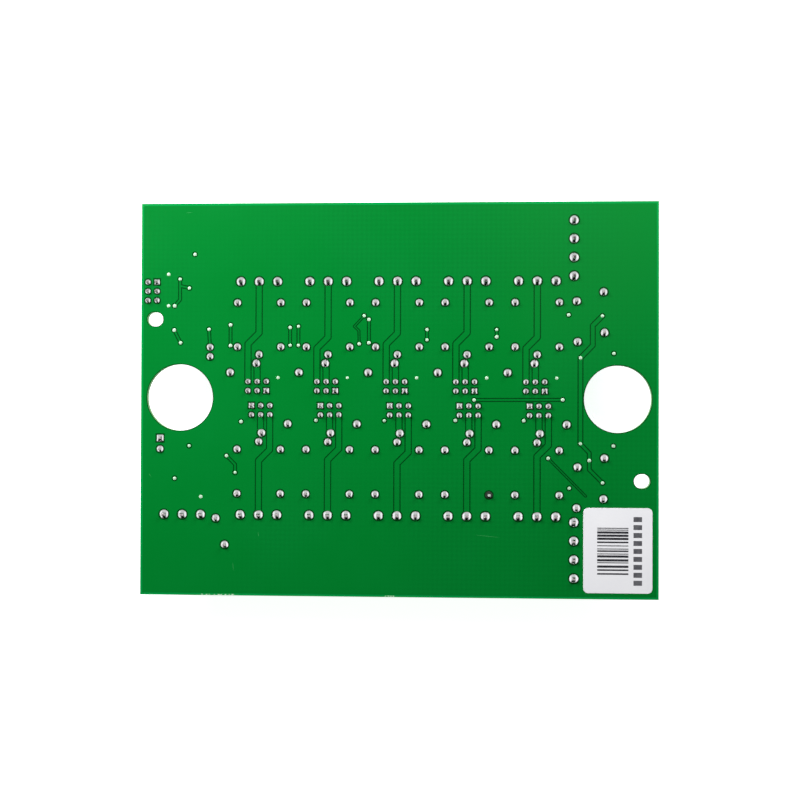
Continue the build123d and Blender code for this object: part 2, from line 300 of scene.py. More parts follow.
solder = finish("solder", (0.90, 0.91, 0.92), (0.80, 0.81, 0.83), scale=900.0, rough=(0.12, 0.26), metal=1.0,
                grain=(5000.0, 1500.0, 1.0), bump=0.10, depth=0.03 * mm)
dullSolder = finish("dullSolder", (0.07, 0.08, 0.07), (0.04, 0.05, 0.04), scale=1200.0,
                    rough=(0.45, 0.65), metal=0.8, grain=(4000.0, 1500.0, 1.0), bump=0.3, depth=0.04 * mm)
dullLead = finish("dullLead", (0.52, 0.56, 0.52), (0.38, 0.42, 0.38), scale=1500.0,
                  rough=(0.45, 0.6), metal=0.4, grain=(6000.0, 1500.0, 1.0), bump=0.25, depth=0.03 * mm)
cutLead = finish("cutLead", (0.84, 0.74, 0.76), (0.66, 0.56, 0.59), scale=1500.0,
                 rough=(0.22, 0.34), metal=0.9, grain=(6000.0, 1500.0, 1.0), bump=0.25, depth=0.03 * mm)
tinned = finish("tinned", (0.78, 0.79, 0.80), (0.66, 0.67, 0.68), scale=700.0, rough=(0.22, 0.38), metal=1.0,
                grain=(4000.0, 800.0, 0.6), bump=0.06, depth=0.02 * mm)
gilt = finish("gilt", (0.68, 0.52, 0.26), (0.60, 0.46, 0.22), scale=700.0, rough=(0.18, 0.3), metal=1.0,
              grain=(4000.0, 800.0, 0.6), bump=0.05, depth=0.02 * mm)
terminalPlastic = finish("terminalPlastic", (0.012, 0.17, 0.055), (0.016, 0.20, 0.065), scale=120.0,
                         rough=(0.38, 0.5), grain=(3500.0, 500.0, 0.6), bump=0.12, depth=0.04 * mm)
relayPlastic = finish("relayPlastic", (0.012, 0.012, 0.013), (0.018, 0.018, 0.020), scale=100.0,
                      rough=(0.32, 0.46), grain=(3200.0, 500.0, 0.7), bump=0.15, depth=0.05 * mm)
blackPlastic = finish("blackPlastic", (0.014, 0.014, 0.014), (0.022, 0.022, 0.022), scale=200.0,
                      rough=(0.4, 0.55), grain=(4000.0, 700.0, 0.7), bump=0.12, depth=0.03 * mm)
discCoating = finish("discCoating", (0.015, 0.09, 0.36), (0.02, 0.12, 0.44), scale=350.0, rough=(0.18, 0.32),
                     grain=(2500.0, 600.0, 1.5), bump=0.2, depth=0.06 * mm, coat=0.4)
sleeve = finish("sleeve", (0.012, 0.012, 0.016), (0.020, 0.020, 0.026), scale=250.0, rough=(0.2, 0.32),
                grain=(3000.0, 700.0, 0.6), bump=0.06, depth=0.03 * mm)
lightLens = finish("lightLens", (0.05, 0.55, 0.10), (0.07, 0.62, 0.13), scale=250.0, rough=(0.12, 0.22),
                   grain=(3000.0, 700.0, 0.6), bump=0.03, depth=0.03 * mm, coat=0.3)
chipPlastic = finish("chipPlastic", (0.018, 0.018, 0.019), (0.028, 0.028, 0.029), scale=400.0,
                     rough=(0.5, 0.65), grain=(6000.0, 1500.0, 1.0), bump=0.2, depth=0.03 * mm)
chipCeramic = finish("chipCeramic", (0.55, 0.42, 0.27), (0.48, 0.36, 0.22), scale=900.0, rough=(0.45, 0.6),
                     grain=(6000.0, 1500.0, 1.0), bump=0.2, depth=0.03 * mm)
labelPaper = finish("labelPaper", (0.73, 0.73, 0.76), (0.76, 0.76, 0.78), scale=70.0, rough=(0.55, 0.70),
                    grain=(5000.0, 300.0, 2.0), bump=0.06, depth=0.03 * mm, specular=0.2)
labelInk = finish("labelInk", (0.012, 0.012, 0.016), (0.030, 0.030, 0.036), scale=900.0, rough=(0.5, 0.65),
                  grain=(5000.0, 900.0, 1.0), bump=0.05, depth=0.01 * mm)
maskUnder = overWeave(finish("maskUnder", maskTones["under"], maskTones["underSecond"], scale=60.0,
                             **maskFinish))
viaSolder = finish("viaSolder", (0.66, 0.90, 0.68), (0.56, 0.82, 0.60), scale=1300.0,
                   rough=(0.2, 0.35), metal=0.4, grain=(5000.0, 1500.0, 1.0), bump=0.1, depth=0.03 * mm)
zinc = finish("zinc", (0.70, 0.70, 0.72), (0.56, 0.57, 0.60), scale=500.0, rough=(0.22, 0.36), metal=1.0,
              grain=(3000.0, 700.0, 0.6), bump=0.08, depth=0.03 * mm)
greyInk = finish("greyInk", (0.07, 0.07, 0.08), (0.11, 0.11, 0.12), scale=900.0, rough=(0.5, 0.65),
                 grain=(5000.0, 900.0, 1.0), bump=0.05, depth=0.01 * mm)
whiteInk = finish("whiteInk", (0.78, 0.80, 0.76), (0.70, 0.73, 0.68), scale=600.0, rough=(0.5, 0.65),
                  grain=(5000.0, 900.0, 1.0), bump=0.08, depth=0.01 * mm)
sleeveStripe = finish("sleeveStripe", (0.42, 0.42, 0.46), (0.36, 0.36, 0.40), scale=250.0, rough=(0.25, 0.36),
                      grain=(3000.0, 700.0, 0.6), bump=0.06, depth=0.03 * mm)
statusLens = finish("statusLens", (0.42, 0.55, 0.36), (0.50, 0.62, 0.42), scale=900.0, rough=(0.15, 0.25),
                    grain=(5000.0, 900.0, 1.0), bump=0.04, depth=0.02 * mm, coat=0.3)
chippedEdge = finish("chippedEdge", (0.40, 0.62, 0.42), (0.58, 0.72, 0.54), scale=1500.0, rough=(0.6, 0.8),
                     grain=(6000.0, 1500.0, 1.0), bump=0.4, depth=0.03 * mm, specular=0.3)
scratchTone = finish("scratchTone", (0.05, 0.32, 0.10), (0.03, 0.24, 0.07), scale=1500.0, rough=(0.4, 0.6),
                     grain=(6000.0, 1500.0, 1.0), bump=0.2, depth=0.02 * mm, specular=0.3)
print("materials done")


# Radii of the round pads, in millimetres
padRadius = dict(terminal=1.27, relay=1.02, varistor=1.10, header=0.78, wire=0.98)

terminalTips = leadEnds("terminal_clamps")
headerTips = leadEnds("header_pins")
varistorTips = leadEnds("output_varistors") + leadEnds("line_varistors")
wireTips = leadEnds("supply_capacitor") + leadEnds("power_light")
relayTips = [tip for node in relayNodes for tip in leadEnds(node)]


def inside(node, points):
    low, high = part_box(node)
    return [p for p in points if low.x < p[0] < high.x and low.y < p[1] < high.y]


def nearest(points, x, y):
    return min(points, key=lambda p: (p[0] - x) ** 2 + (p[1] - y) ** 2)


# Each channel: its side of the board, its middle, and the leads that its wide tracks join
channels = []
for relayNode, terminal, header in zip(relayNodes, outputTerminals, jumperHeaders):
    low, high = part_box(relayNode)
    side = 1 if low.y > 0 else -1
    middle = (low.x + high.x) / 2
    posts = inside(header, headerTips)
    headLow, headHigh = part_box(header)
    headX = (headLow.x + headHigh.x) / 2
    outerY = side * max(side * p[1] for p in posts)
    innerY = side * min(side * p[1] for p in posts)
    channels.append(dict(
        side=side, middle=middle, relay=relayNode, terminal=terminal, header=header,
        pins=sorted(inside(terminal, terminalTips), key=lambda p: side * p[0]),
        leads=sorted(inside(relayNode, relayTips), key=lambda p: side * p[1]),
        first=nearest(posts, headX - side * 3 * mm, outerY),
        second=nearest(posts, headX, outerY),
        square=nearest(posts, headX + side * 3 * mm, innerY),
        varistor=nearest(varistorTips, middle - side * 0.8 * mm, side * 9.6 * mm),
    ))

programmingPins = inside("programming_header", headerTips)
squarePads = [channel["square"] for channel in channels]
squarePads.append(max(programmingPins, key=lambda p: p[0] + p[1]))
squarePads.append(max(leadEnds("power_light"), key=lambda p: p[1]))


def isSquare(tip):
    return any(math.dist(tip, pad) < 1e-6 for pad in squarePads)


pads = []
for kind, group in (("terminal", terminalTips), ("relay", relayTips), ("varistor", varistorTips),
                    ("header", headerTips), ("wire", wireTips)):
    pads += [(kind, tip, isSquare(tip)) for tip in group]

copperPlan = dict(
    thickness=0.05 * mm, gap=0.30 * mm, padGap=0.26 * mm, opening=0.05 * mm,
    margin=0.62 * mm, marginRise=0.012 * mm, holeMargin=0.22 * mm,
    wide=1.42 * mm, narrow=0.50 * mm, facets=28, viaPad=0.52 * mm, viaDome=0.48 * mm,
    # how far out each channel's wide track steps aside
    bends=(16.7, 15.5, 16.6, 16.7, 15.5, 15.4, 15.1, 16.0, 15.0, 13.9),
)

# Wide tracks from each terminal to its header, and from the header to the varistor
solderTracks = []
for channel, bend in zip(channels, copperPlan["bends"]):
    side, (px, py), (hx, hy) = channel["side"], channel["pins"][1], channel["first"]
    fold, level = 0.5 * abs(px - hx), side * bend * mm
    route = [(px, py), (px, level + side * fold), (hx, level - side * fold), (hx, hy)]
    solderTracks.append((copperPlan["wide"], route))
    (vx, vy), (sx, sy) = channel["varistor"], channel["second"]
    solderTracks.append((copperPlan["wide"], [(vx, vy), (sx, vy - side * 1.5 * mm), (sx, sy)]))

# Tracks with a width of their own, in millimetres from the middle of the board: the bus, and two fine ones
widthTracks = [
    (1.0, [(55.7, 22.8), (53.1, 20.2), (53.1, 14.8), (49.8, 11.4)]),
    (1.0, [(49.8, 11.4), (49.8, -11.9)]),
    (0.7, [(49.8, -11.9), (52.2, -14.4), (52.2, -16.45)]),
    (0.7, [(52.2, -16.45), (52.2, -18.9), (55.8, -22.5)]),
    (0.25, [(41.1, -15.9), (51.2, -26.1)]),
    (0.25, [(-9.1, 22.9), (-11.8, 20.0), (-10.55, 18.8), (-10.45, 15.2)]),
]
# Small tracks with a via at each free end, and lone vias
smallTracks = [
    [(-60.1, 33.1), (-60.1, 27.4), (-61.6, 25.7)],
    [(-61.7, 19.0), (-59.9, 15.5)],
    [(-52.0, 19.2), (-51.7, 14.3)],
    [(-46.0, 20.4), (-46.0, 14.7)],
    [(-29.5, 19.7), (-29.5, 14.8)],
    [(-27.2, 20.0), (-27.2, 14.8)],
    [(-7.8, 21.9), (-7.8, 15.5)],
    [(8.1, 19.1), (8.1, 16.3)],
    [(27.1, 19.1), (27.1, 17.1)],
    [(21.0, -0.1), (45.0, 0.0)],
    [(-60.0, 31.2), (-57.5, 30.6)],
    [(-47.0, -15.6), (-44.6, -18.0), (-44.6, -20.2)],
]
loneVias = [
    (-56.0, 39.9), (-63.3, 34.4), (-57.5, 30.6), (-63.3, 25.7), (46.6, 23.1), (58.8, 12.6), (58.7, -12.5),
    (46.8, -24.0), (-57.4, -12.9), (-61.4, -21.9), (-54.1, -26.9),
    (-43.0, -6.2), (-22.3, -5.8), (-3.5, -5.8), (15.9, -5.7), (34.5, -5.7),
    (-32.8, 5.9), (-13.7, 5.9), (5.3, 5.9), (24.4, 5.9), (43.4, 5.9),
]
joinedVias = loneVias[1:2] + loneVias[3:4] + loneVias[10:11] + loneVias[16:]   # with no gap round them
bareEnds = [(51.2, -26.1), (-60.0, 31.2)]   # where a track goes on without a via
vias = []
for width, points in widthTracks + [(copperPlan["narrow"] / mm, points) for points in smallTracks]:
    metres = [(x * mm, y * mm) for x, y in points]
    solderTracks.append((width * mm, metres))
    for end, place in zip((metres[0], metres[-1]), (points[0], points[-1])):
        taken = [tip for kind, tip, square in pads if math.dist(end, tip) < 1.2 * mm]
        taken += [via for via in vias if math.dist(end, via) < 0.3 * mm]
        if not taken and place not in bareEnds:
            vias.append(end)
for x, y in loneVias:
    if all(math.dist((x * mm, y * mm), via) > 0.3 * mm for via in vias):
        vias.append((x * mm, y * mm))
gaplessVias = [(x * mm, y * mm) for x, y in joinedVias]

# On the component side: relay contacts to terminals, coil leads to their driver, lights to their header
reachPlan = dict(contact=1.6 * mm, coil=8.6 * mm, coilBend=1.8 * mm, coilEnd=6.4 * mm,
                 light=5.6 * mm, lightStart=6.9 * mm, lightEnd=12.4 * mm)
componentTracks = []
for channel in channels:
    side, pins, leads = channel["side"], channel["pins"], channel["leads"]
    inner = sorted(leads[1:3], key=lambda p: side * p[0])
    outer = sorted(leads[3:5], key=lambda p: side * p[0])
    for lead, pin in ((outer[0], pins[0]), (outer[1], pins[2])):
        route = [lead, (pin[0], lead[1] + side * reachPlan["contact"]), pin]
        componentTracks.append((copperPlan["wide"], route))
    (x, y), across = inner[1], channel["middle"] + side * reachPlan["coil"]
    route = [(x, y), (across, y + side * reachPlan["coilBend"]), (across, y + side * reachPlan["coilEnd"])]
    componentTracks.append((copperPlan["narrow"], route))
    across = channel["middle"] - side * reachPlan["light"]
    route = [(across, side * reachPlan["lightStart"]), (across, side * reachPlan["lightEnd"])]
    componentTracks.append((copperPlan["narrow"], route))
print("leads", len(pads), "vias", len(vias))


def circleOutline(x, y, radius, facets=None):
    n = facets or copperPlan["facets"]
    turns = [2 * math.pi * i / n for i in range(n)]
    return [(x + radius * math.cos(a), y + radius * math.sin(a)) for a in turns]


def squareOutline(x, y, half):
    return [(x - half, y - half), (x + half, y - half), (x + half, y + half), (x - half, y + half)]


def capsuleOutline(a, b, radius):
    # outline of a straight track with round ends
    angle = math.atan2(b[1] - a[1], b[0] - a[0])
    half = copperPlan["facets"] // 2
    points = []
    for centre, begin in ((b, angle - math.pi / 2), (a, angle + math.pi / 2)):
        for i in range(half + 1):
            turn = begin + math.pi * i / half
            points.append((centre[0] + radius * math.cos(turn), centre[1] + radius * math.sin(turn)))
    return points


def holeOutline(mount, extra):
    # one of the board's openings or slots, grown by a margin
    points = nodePoints("circuit_board")
    top = points[np.abs(points[:, 2] - solderFace) < 1e-6][:, :2]
    x, y = mount["pos_m"][:2]
    reach = 9.6 * mm if mount["name"].endswith("_opening") else 2.6 * mm
    ring = np.unique(np.round(top[np.hypot(top[:, 0] - x, top[:, 1] - y) < reach], 7), axis=0)
    middle = (ring.min(0) + ring.max(0)) / 2
    ring = ring[np.argsort(np.arctan2(ring[:, 1] - middle[1], ring[:, 0] - middle[0]))]
    away = ring - middle
    length = np.hypot(away[:, 0], away[:, 1])[:, None]
    return [tuple(p) for p in middle + away * (length + extra) / length]


boardMounts = [m for m in frame["record"]["mounts"] if m["name"].endswith(("_opening", "_slot"))]


def sheetOutlines(tracks):
    # every outline with what it means: the board, its margins and holes, the gaps and the copper
    gap, padGap = copperPlan["gap"], copperPlan["padGap"]
    halfX, halfY = boardHigh.x, boardHigh.y
    innerX, innerY = halfX - copperPlan["margin"], halfY - copperPlan["margin"]
    yield "board", [(-halfX, -halfY), (halfX, -halfY), (halfX, halfY), (-halfX, halfY)]
    yield "inner", [(-innerX, -innerY), (innerX, -innerY), (innerX, innerY), (-innerX, innerY)]
    for mount in boardMounts:
        yield "hole", holeOutline(mount, 0.0)
        yield "margin", holeOutline(mount, copperPlan["holeMargin"])
    for kind, (x, y), square in pads:
        radius = padRadius[kind] * mm + copperPlan["opening"]
        outline = squareOutline if square else circleOutline
        yield "pad", outline(x, y, radius)
        yield "gap", outline(x, y, radius + padGap)
    for x, y in vias:
        yield "copper", circleOutline(x, y, copperPlan["viaPad"], 16)
        if min(math.dist((x, y), place) for place in gaplessVias) > 0.1 * mm:
            yield "gap", circleOutline(x, y, copperPlan["viaPad"] + gap, 20)
    for width, points in tracks:
        for a, b in zip(points, points[1:]):
            yield "copper", capsuleOutline(a, b, width / 2)
            yield "gap", capsuleOutline(a, b, width / 2 + gap)


def planTriangles(outlines):
    # one triangulation of every outline, each triangle with the outlines that hold it
    corners, faces, kinds = [], [], []
    for kind, outline in outlines:
        start = len(corners)
        corners += [Vector((x / mm, y / mm)) for x, y in outline]
        faces.append(list(range(start, len(corners))))
        kinds.append(kind)
    points, edges, triangles, fromPoints, fromEdges, fromFaces = delaunay_2d_cdt(corners, [], faces, 0, 1e-4)
    for triangle, sources in zip(triangles, fromFaces):
        yield [points[i] for i in triangle], triangle, {kinds[i] for i in sources}


def buildSheets(tracks, face, away):
    # raised copper, and the thin margin along the board's edges, on one face of the board
    raised, flat = bmesh.new(), bmesh.new()
    raisedAt, flatAt = {}, {}
    for points, triangle, held in planTriangles(sheetOutlines(tracks)):
        if "board" not in held or held & {"hole", "pad", "margin"}:
            continue
        if "inner" not in held:
            target, found, level = flat, flatAt, face + away * copperPlan["marginRise"]
        elif "copper" in held or "gap" not in held:
            target, found, level = raised, raisedAt, face + away * copperPlan["thickness"]
        else:
            continue
        for index, point in zip(triangle, points):
            if index not in found:
                found[index] = target.verts.new((point.x * mm, point.y * mm, level))
        verts = [found[index] for index in triangle]
        if len(set(verts)) == 3:
            target.faces.new(verts)
    for bm in (raised, flat):
        rim = [e for e in bm.edges if e.is_boundary]
        made = bmesh.ops.extrude_edge_only(bm, edges=rim)
        for vert in (v for v in made["geom"] if isinstance(v, bmesh.types.BMVert)):
            vert.co.z = face
    return raised, flat


for prefix, tracks, face, away, tone in (
    ("solderSide", solderTracks, solderFace, 1, maskOverCopper),
    ("componentSide", componentTracks, componentFace, -1, maskComponentSide),
):
    raised, flat = buildSheets(tracks, face, away)
    addPiece(prefix + "Copper", meshFrom(prefix + "Copper", raised, tone), "board")
    addPiece(prefix + "Margin", meshFrom(prefix + "Margin", flat, maskMargin), "board")
print("copper done")


# Parts are modelled in millimetres: across, outward and away from the board

def seat(x, y, out=(0, 1)):
    # where a part hangs under the board
    outward = Vector((*out, 0.0))
    away = Vector((0, 0, -1))
    turn = Matrix((outward.cross(away), outward, away)).transposed().to_4x4()
    return Matrix.Translation((x, y, componentFace)) @ turn @ Matrix.Scale(mm, 4)


def top(x, y):
    # where a joint stands on the solder side
    return Matrix.Translation((x, y, solderFace)) @ Matrix.Scale(mm, 4)


def shape(build, *values, **options):
    bm = bmesh.new()
    build(bm, *values, **options)
    bmesh.ops.recalc_face_normals(bm, faces=bm.faces)
    mesh = bpy.data.meshes.new("shape")
    bm.to_mesh(mesh)
    bm.free()
    return mesh


def stamp(bm, mesh, place):
    copy = mesh.copy()
    copy.transform(place)
    bm.from_mesh(copy)
    bpy.data.meshes.remove(copy)


def stampShape(bm, place, build, *values, **options):
    # a part that is needed only once
    mesh = shape(build, *values, **options)
    stamp(bm, mesh, place)
    bpy.data.meshes.remove(mesh)


def row(count, pitch):
    return [(i - (count - 1) / 2) * pitch for i in range(count)]


def loft(bm, rings, material=0, capped=True):
    # rings of equal length joined into one skin with closed ends
    loops = [[bm.verts.new(point) for point in ring] for ring in rings]
    count = len(loops[0])
    made = []
    for low, high in zip(loops, loops[1:]):
        for i in range(count):
            j = (i + 1) % count
            made.append(bm.faces.new((low[i], low[j], high[j], high[i])))
    if capped:
        made += [bm.faces.new(loops[0][::-1]), bm.faces.new(loops[-1])]
    for face in made:
        face.material_index = material
    return loops


def lathe(bm, profile, centre=(0.0, 0.0), facets=24, material=0, capped=True):
    u, v = centre
    turns = [2 * math.pi * i / facets for i in range(facets)]
    rings = [[(u + r * math.cos(a), v + r * math.sin(a), w) for a in turns] for r, w in profile]
    return loft(bm, rings, material, capped)


def roundedRectangle(halfU, halfV, corner, facets=3):
    points = []
    for su, sv, begin in ((1, 1, 0), (-1, 1, 90), (-1, -1, 180), (1, -1, 270)):
        for i in range(facets + 1):
            turn = math.radians(begin + 90 * i / facets)
            points.append((su * (halfU - corner) + corner * math.cos(turn),
                           sv * (halfV - corner) + corner * math.sin(turn)))
    return points


def block(bm, centre, size, levels, corner=0.3, facets=3, material=0):
    # upright block: at each level its outline steps in by the given inset, and a thin rim keeps its ends flat
    rings = []
    rim = 0.06 if min(size) > 1.0 else 0.02
    first, last = levels[0], levels[-1]
    for w, inset in [(first[0], first[1] + rim), *levels, (last[0], last[1] + rim)]:
        halfU, halfV = size[0] / 2 - inset, size[1] / 2 - inset
        outline = roundedRectangle(halfU, halfV, max(corner - inset, 0.03), facets)
        rings.append([(centre[0] + u, centre[1] + v, w) for u, v in outline])
    return loft(bm, rings, material)


def edged(low, high, edge):
    return [(low, edge), (low + edge, 0.0), (high - edge, 0.0), (high, edge)]


def bar(bm, path, width, thickness, place=Matrix.Identity(4), material=0):
    # flat strip along a path of (reach, height) points, centred on the plane of the path
    rings = []
    for i, (r, w) in enumerate(path):
        before, after = path[max(i - 1, 0)], path[min(i + 1, len(path) - 1)]
        along = Vector((after[0] - before[0], after[1] - before[1])).normalized()
        n = Vector((-along.y, along.x)) * thickness / 2
        rings.append([place @ Vector(p) for p in (
            (r - n.x, -width / 2, w - n.y), (r - n.x, width / 2, w - n.y),
            (r + n.x, width / 2, w + n.y), (r + n.x, -width / 2, w + n.y))])
    return loft(bm, rings, material)


def roundCorners(points, radius, facets=3):
    result = []
    for i, corner in enumerate(points):
        before, here, after = Vector(points[i - 1]), Vector(corner), Vector(points[(i + 1) % len(points)])
        start = here + (before - here).normalized() * radius
        end = here + (after - here).normalized() * radius
        for k in range(facets + 1):
            t = k / facets
            result.append(start * (1 - t) ** 2 + here * 2 * t * (1 - t) + end * t * t)
    return result


def shrink(points, amount):
    result = []
    for i, here in enumerate(points):
        along = (points[(i + 1) % len(points)] - points[i - 1]).normalized()
        result.append(here + Vector((-along.y, along.x)) * amount)
    return result


def carve(mesh, cutters):
    # the mesh with every cutter taken out of it
    base = bpy.data.objects.new("carved", mesh)
    tools = [bpy.data.objects.new("cutter", cutter) for cutter in cutters]
    for item in [base] + tools:
        bpy.context.scene.collection.objects.link(item)
    for tool in tools:
        cut = base.modifiers.new("cut", "BOOLEAN")
        cut.solver = "EXACT"
        cut.object = tool
    bpy.context.view_layer.update()
    result = bpy.data.meshes.new_from_object(base.evaluated_get(bpy.context.evaluated_depsgraph_get()))
    for item in [base] + tools:
        data = item.data
        bpy.data.objects.remove(item)
        bpy.data.meshes.remove(data)
    return result


def solidBoxes(node):
    # the box of every separate solid of a node, in millimetres from the middle of the board
    bm = bmesh.new()
    bm.from_mesh(allNodes[node].data)
    bmesh.ops.remove_doubles(bm, verts=bm.verts, dist=1e-6)
    left, boxes = set(bm.verts), []
    while left:
        reached, queue = set(), [left.pop()]
        while queue:
            vert = queue.pop()
            reached.add(vert)
            for edge in vert.link_edges:
                other = edge.other_vert(vert)
                if other in left:
                    left.discard(other)
                    queue.append(other)
        places = np.array([v.co for v in reached]) / mm
        boxes.append((places.min(0), places.max(0)))
    bm.free()
    return boxes


def middleOf(node):
    low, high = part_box(node)
    return (low.x + high.x) / 2, (low.y + high.y) / 2


# Shape of every solder joint, each kind's half sizes of lead, and how its end is cut in each half of the board
jointPlan = dict(rings=9, facets=28, tip=1.46, fullness=2.6, wave=0.022, lean=0.09)
jointShape = dict(
    terminal=dict(lead=(0.50, 0.40), height=0.56, slants=(0.28, -0.26)),
    relay=dict(lead=(0.42, 0.32), height=0.49, slants=(-0.20, -0.26)),
    varistor=dict(lead=(0.36, 0.36), height=0.54, slants=(-0.12, -0.24)),
    header=dict(lead=(0.33, 0.33), height=0.42, slants=(0.15, -0.08)),
    wire=dict(lead=(0.29, 0.29), height=0.48, slants=(-0.10, -0.20)),
)


def superRadius(angle, halfX, halfY, power):
    # radius of a rounded rectangle in one direction
    c, s = abs(math.cos(angle)), abs(math.sin(angle))
    return ((c / halfX) ** power + (s / halfY) ** power) ** (-1 / power)


def addJoint(bm, kind, square, lower, draw):
    # a domed fillet, steep at its foot and flat near the lead; the lead's end above it is cut on a slant
    plan, form = jointPlan, jointShape[kind]
    height = form["height"] * draw.uniform(0.93, 1.07)
    leanTo, leanBy = draw.uniform(0, 2 * math.pi), draw.uniform(0.0, plan["lean"])
    waves = [(k, draw.uniform(0, 2 * math.pi), draw.uniform(0.0, plan["wave"])) for k in (2, 3, 5)]
    turns = [2 * math.pi * i / plan["facets"] for i in range(plan["facets"])]
    outer = [superRadius(a, padRadius[kind], padRadius[kind], 9.0 if square else 2.0)
             * (1 + sum(size * math.sin(k * a + phase) for k, phase, size in waves)) for a in turns]
    inner = [superRadius(a, *form["lead"], 4.0) for a in turns]
    rings = [[(o * math.cos(a), o * math.sin(a), 0.0) for a, o in zip(turns, outer)]]
    for ring in range(plan["rings"] + 1):
        t = ring / plan["rings"]
        loop = []
        for a, o, i in zip(turns, outer, inner):
            reach = o * 0.985 + (i - o * 0.985) * t
            rise = height * (1 + leanBy * math.cos(a - leanTo)) * (1 - (reach / o) ** plan["fullness"])
            loop.append((reach * math.cos(a), reach * math.sin(a), 0.05 + rise))
        rings.append(loop)
    loops = loft(bm, rings, capped=False)
    bm.faces.new(loops[0][::-1])
    shiftX, shiftY = draw.uniform(-0.05, 0.05), draw.uniform(-0.05, 0.05)
    slant = form["slants"][lower] * draw.uniform(0.75, 1.2)
    tip = plan["tip"] - 0.4 * abs(slant)
    previous = loops[-1]
    for scale, drop in ((0.97, 0.24), (0.97, 0.09), (0.88, 0.03), (0.66, 0.01), (0.3, 0.0)):
        loop = [bm.verts.new((r * scale * math.cos(a) + shiftX, r * scale * math.sin(a) + shiftY,
                              tip - drop + slant * r * scale * math.sin(a)))
                for a, r in zip(turns, inner)]
        for i in range(len(loop)):
            j = (i + 1) % len(loop)
            bm.faces.new((previous[i], previous[j], loop[j], loop[i])).material_index = 1
        previous = loop
    bm.faces.new(previous).material_index = 1


def buildJoints(name, kind, material=solder, tipMaterial=cutLead, only=lambda tip: True):
    draw = random.Random(name)
    bm = bmesh.new()
    for padKind, tip, square in pads:
        if padKind == kind and only(tip):
            stampShape(bm, top(*tip), addJoint, kind, square, int(tip[1] < 0), draw)
    return addPiece(name, meshFrom(name, bm, material, tipMaterial, angle=60), "tinned_metal")


dullTip = nearest(relayTips, 25.0 * mm, -26.0 * mm)
buildJoints("terminalJoints", "terminal")
buildJoints("relayJoints", "relay", only=lambda tip: tip != dullTip)
buildJoints("dullRelayJoint", "relay", dullSolder, dullLead, only=lambda tip: tip == dullTip)
buildJoints("varistorJoints", "varistor")
buildJoints("headerJoints", "header")
buildJoints("wireJoints", "wire")


def buildVias():
    draw = random.Random(3)
    bm = bmesh.new()
    for x, y in vias:
        for place, away in ((top(x, y), 1), (seat(x, y), 1)):
            radius, rise = copperPlan["viaDome"] / mm * draw.uniform(0.86, 1.08), draw.uniform(0.10, 0.20)
            profile = [(radius * math.sqrt(1 - t * t), 0.03 + rise * t) for t in (0.0, 0.25, 0.5, 0.75, 0.93)]
            stampShape(bm, place, lathe, profile, facets=16)
    return addPiece("viaDomes", meshFrom("viaDomes", bm, viaSolder, angle=70), "tinned_metal")


buildVias()


def buildPadRings():
    # pads and low fillets on the component side
    bm = bmesh.new()
    for kind, tip, square in pads:
        radius, lead = padRadius[kind] * 0.94, max(jointShape[kind]["lead"]) + 0.06
        profile = [(radius, 0.0), (radius, 0.05), (lead + 0.15, 0.07), (lead, 0.22)]
        stampShape(bm, seat(*tip), lathe, profile, facets=24)
    return addPiece("padRings", meshFrom("padRings", bm, tinned, angle=50), "tinned_metal")


buildPadRings()
print("joints done")


labelPlan = dict(corner=1.3, lift=0.025, left=3.75, right=12.15, start=5.05, end=17.75,
                 markLeft=13.5, markRight=15.8, markStart=2.15, markStep=2.15, markLength=1.35)
labelLow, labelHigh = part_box("label")


def onLabel(w=0.0):
    return Matrix.Translation((labelLow.x, labelLow.y, solderFace + w * mm)) @ Matrix.Scale(mm, 4)


def buildLabel():
    bm = bmesh.new()
    size = (labelHigh - labelLow) / mm
    thickness = (labelHigh.z - solderFace) / mm
    levels = [(labelPlan["lift"], 0.0), (thickness - 0.03, 0.0), (thickness, 0.05)]
    stampShape(bm, onLabel(), block, (size.x / 2, size.y / 2), (size.x, size.y), levels,
               corner=labelPlan["corner"], facets=8)
    return addPiece("labelSheet", meshFrom("labelSheet", bm, labelPaper), "label_paper", "label")


def printBar(bm, x0, y0, x1, y1, material=0):
    block(bm, ((x0 + x1) / 2, (y0 + y1) / 2), (x1 - x0, y1 - y0), [(-0.01, 0.0), (0.006, 0.0)],
          corner=0.03, facets=1, material=material)


def buildLabelPrint():
    # plain bars of uneven width, and a row of plain blocks where such labels have a line of print
    draw = random.Random(11)
    plan = labelPlan

    def marks(bm):
        widths = [draw.choice((0.4, 0.4, 0.7, 0.7, 1.0)) for i in range(31)]
        scale = (plan["end"] - plan["start"]) / sum(widths)
        y = plan["start"]
        for i, width in enumerate(widths):
            if i % 2 == 0:
                printBar(bm, plan["left"], y, plan["right"], y + width * scale)
            y += width * scale
        for i in range(9):
            y = plan["markStart"] + i * plan["markStep"]
            printBar(bm, plan["markLeft"], y, plan["markRight"], y + plan["markLength"], 1)

    bm = bmesh.new()
    stampShape(bm, onLabel((labelHigh.z - solderFace) / mm), marks)
    return addPiece("labelPrint", meshFrom("labelPrint", bm, labelInk, greyInk), "label_paper")


buildLabel()
buildLabelPrint()
print("label done")


terminalPlan = dict(
    pitch=5.08, mouth=3.9, groove=0.16, grooveDepth=0.15, round=0.35, funnel=0.28,
    # the body's side view, as outward and away from the board
    side=[(-2.1, 0.0), (6.0, 0.0), (6.0, 5.8), (4.5, 10.0), (-1.4, 10.0), (-2.1, 9.3)],
    well=1.95, wellFloor=8.25, wellOut=1.6, screwRadius=1.78, screwTop=9.15, slot=0.28, slotDepth=0.55,
    cageHalf=1.85, cageLow=0.9, cageHigh=4.8, cageWall=0.5,
)


def wayPlaces(ways):
    return row(ways, terminalPlan["pitch"])


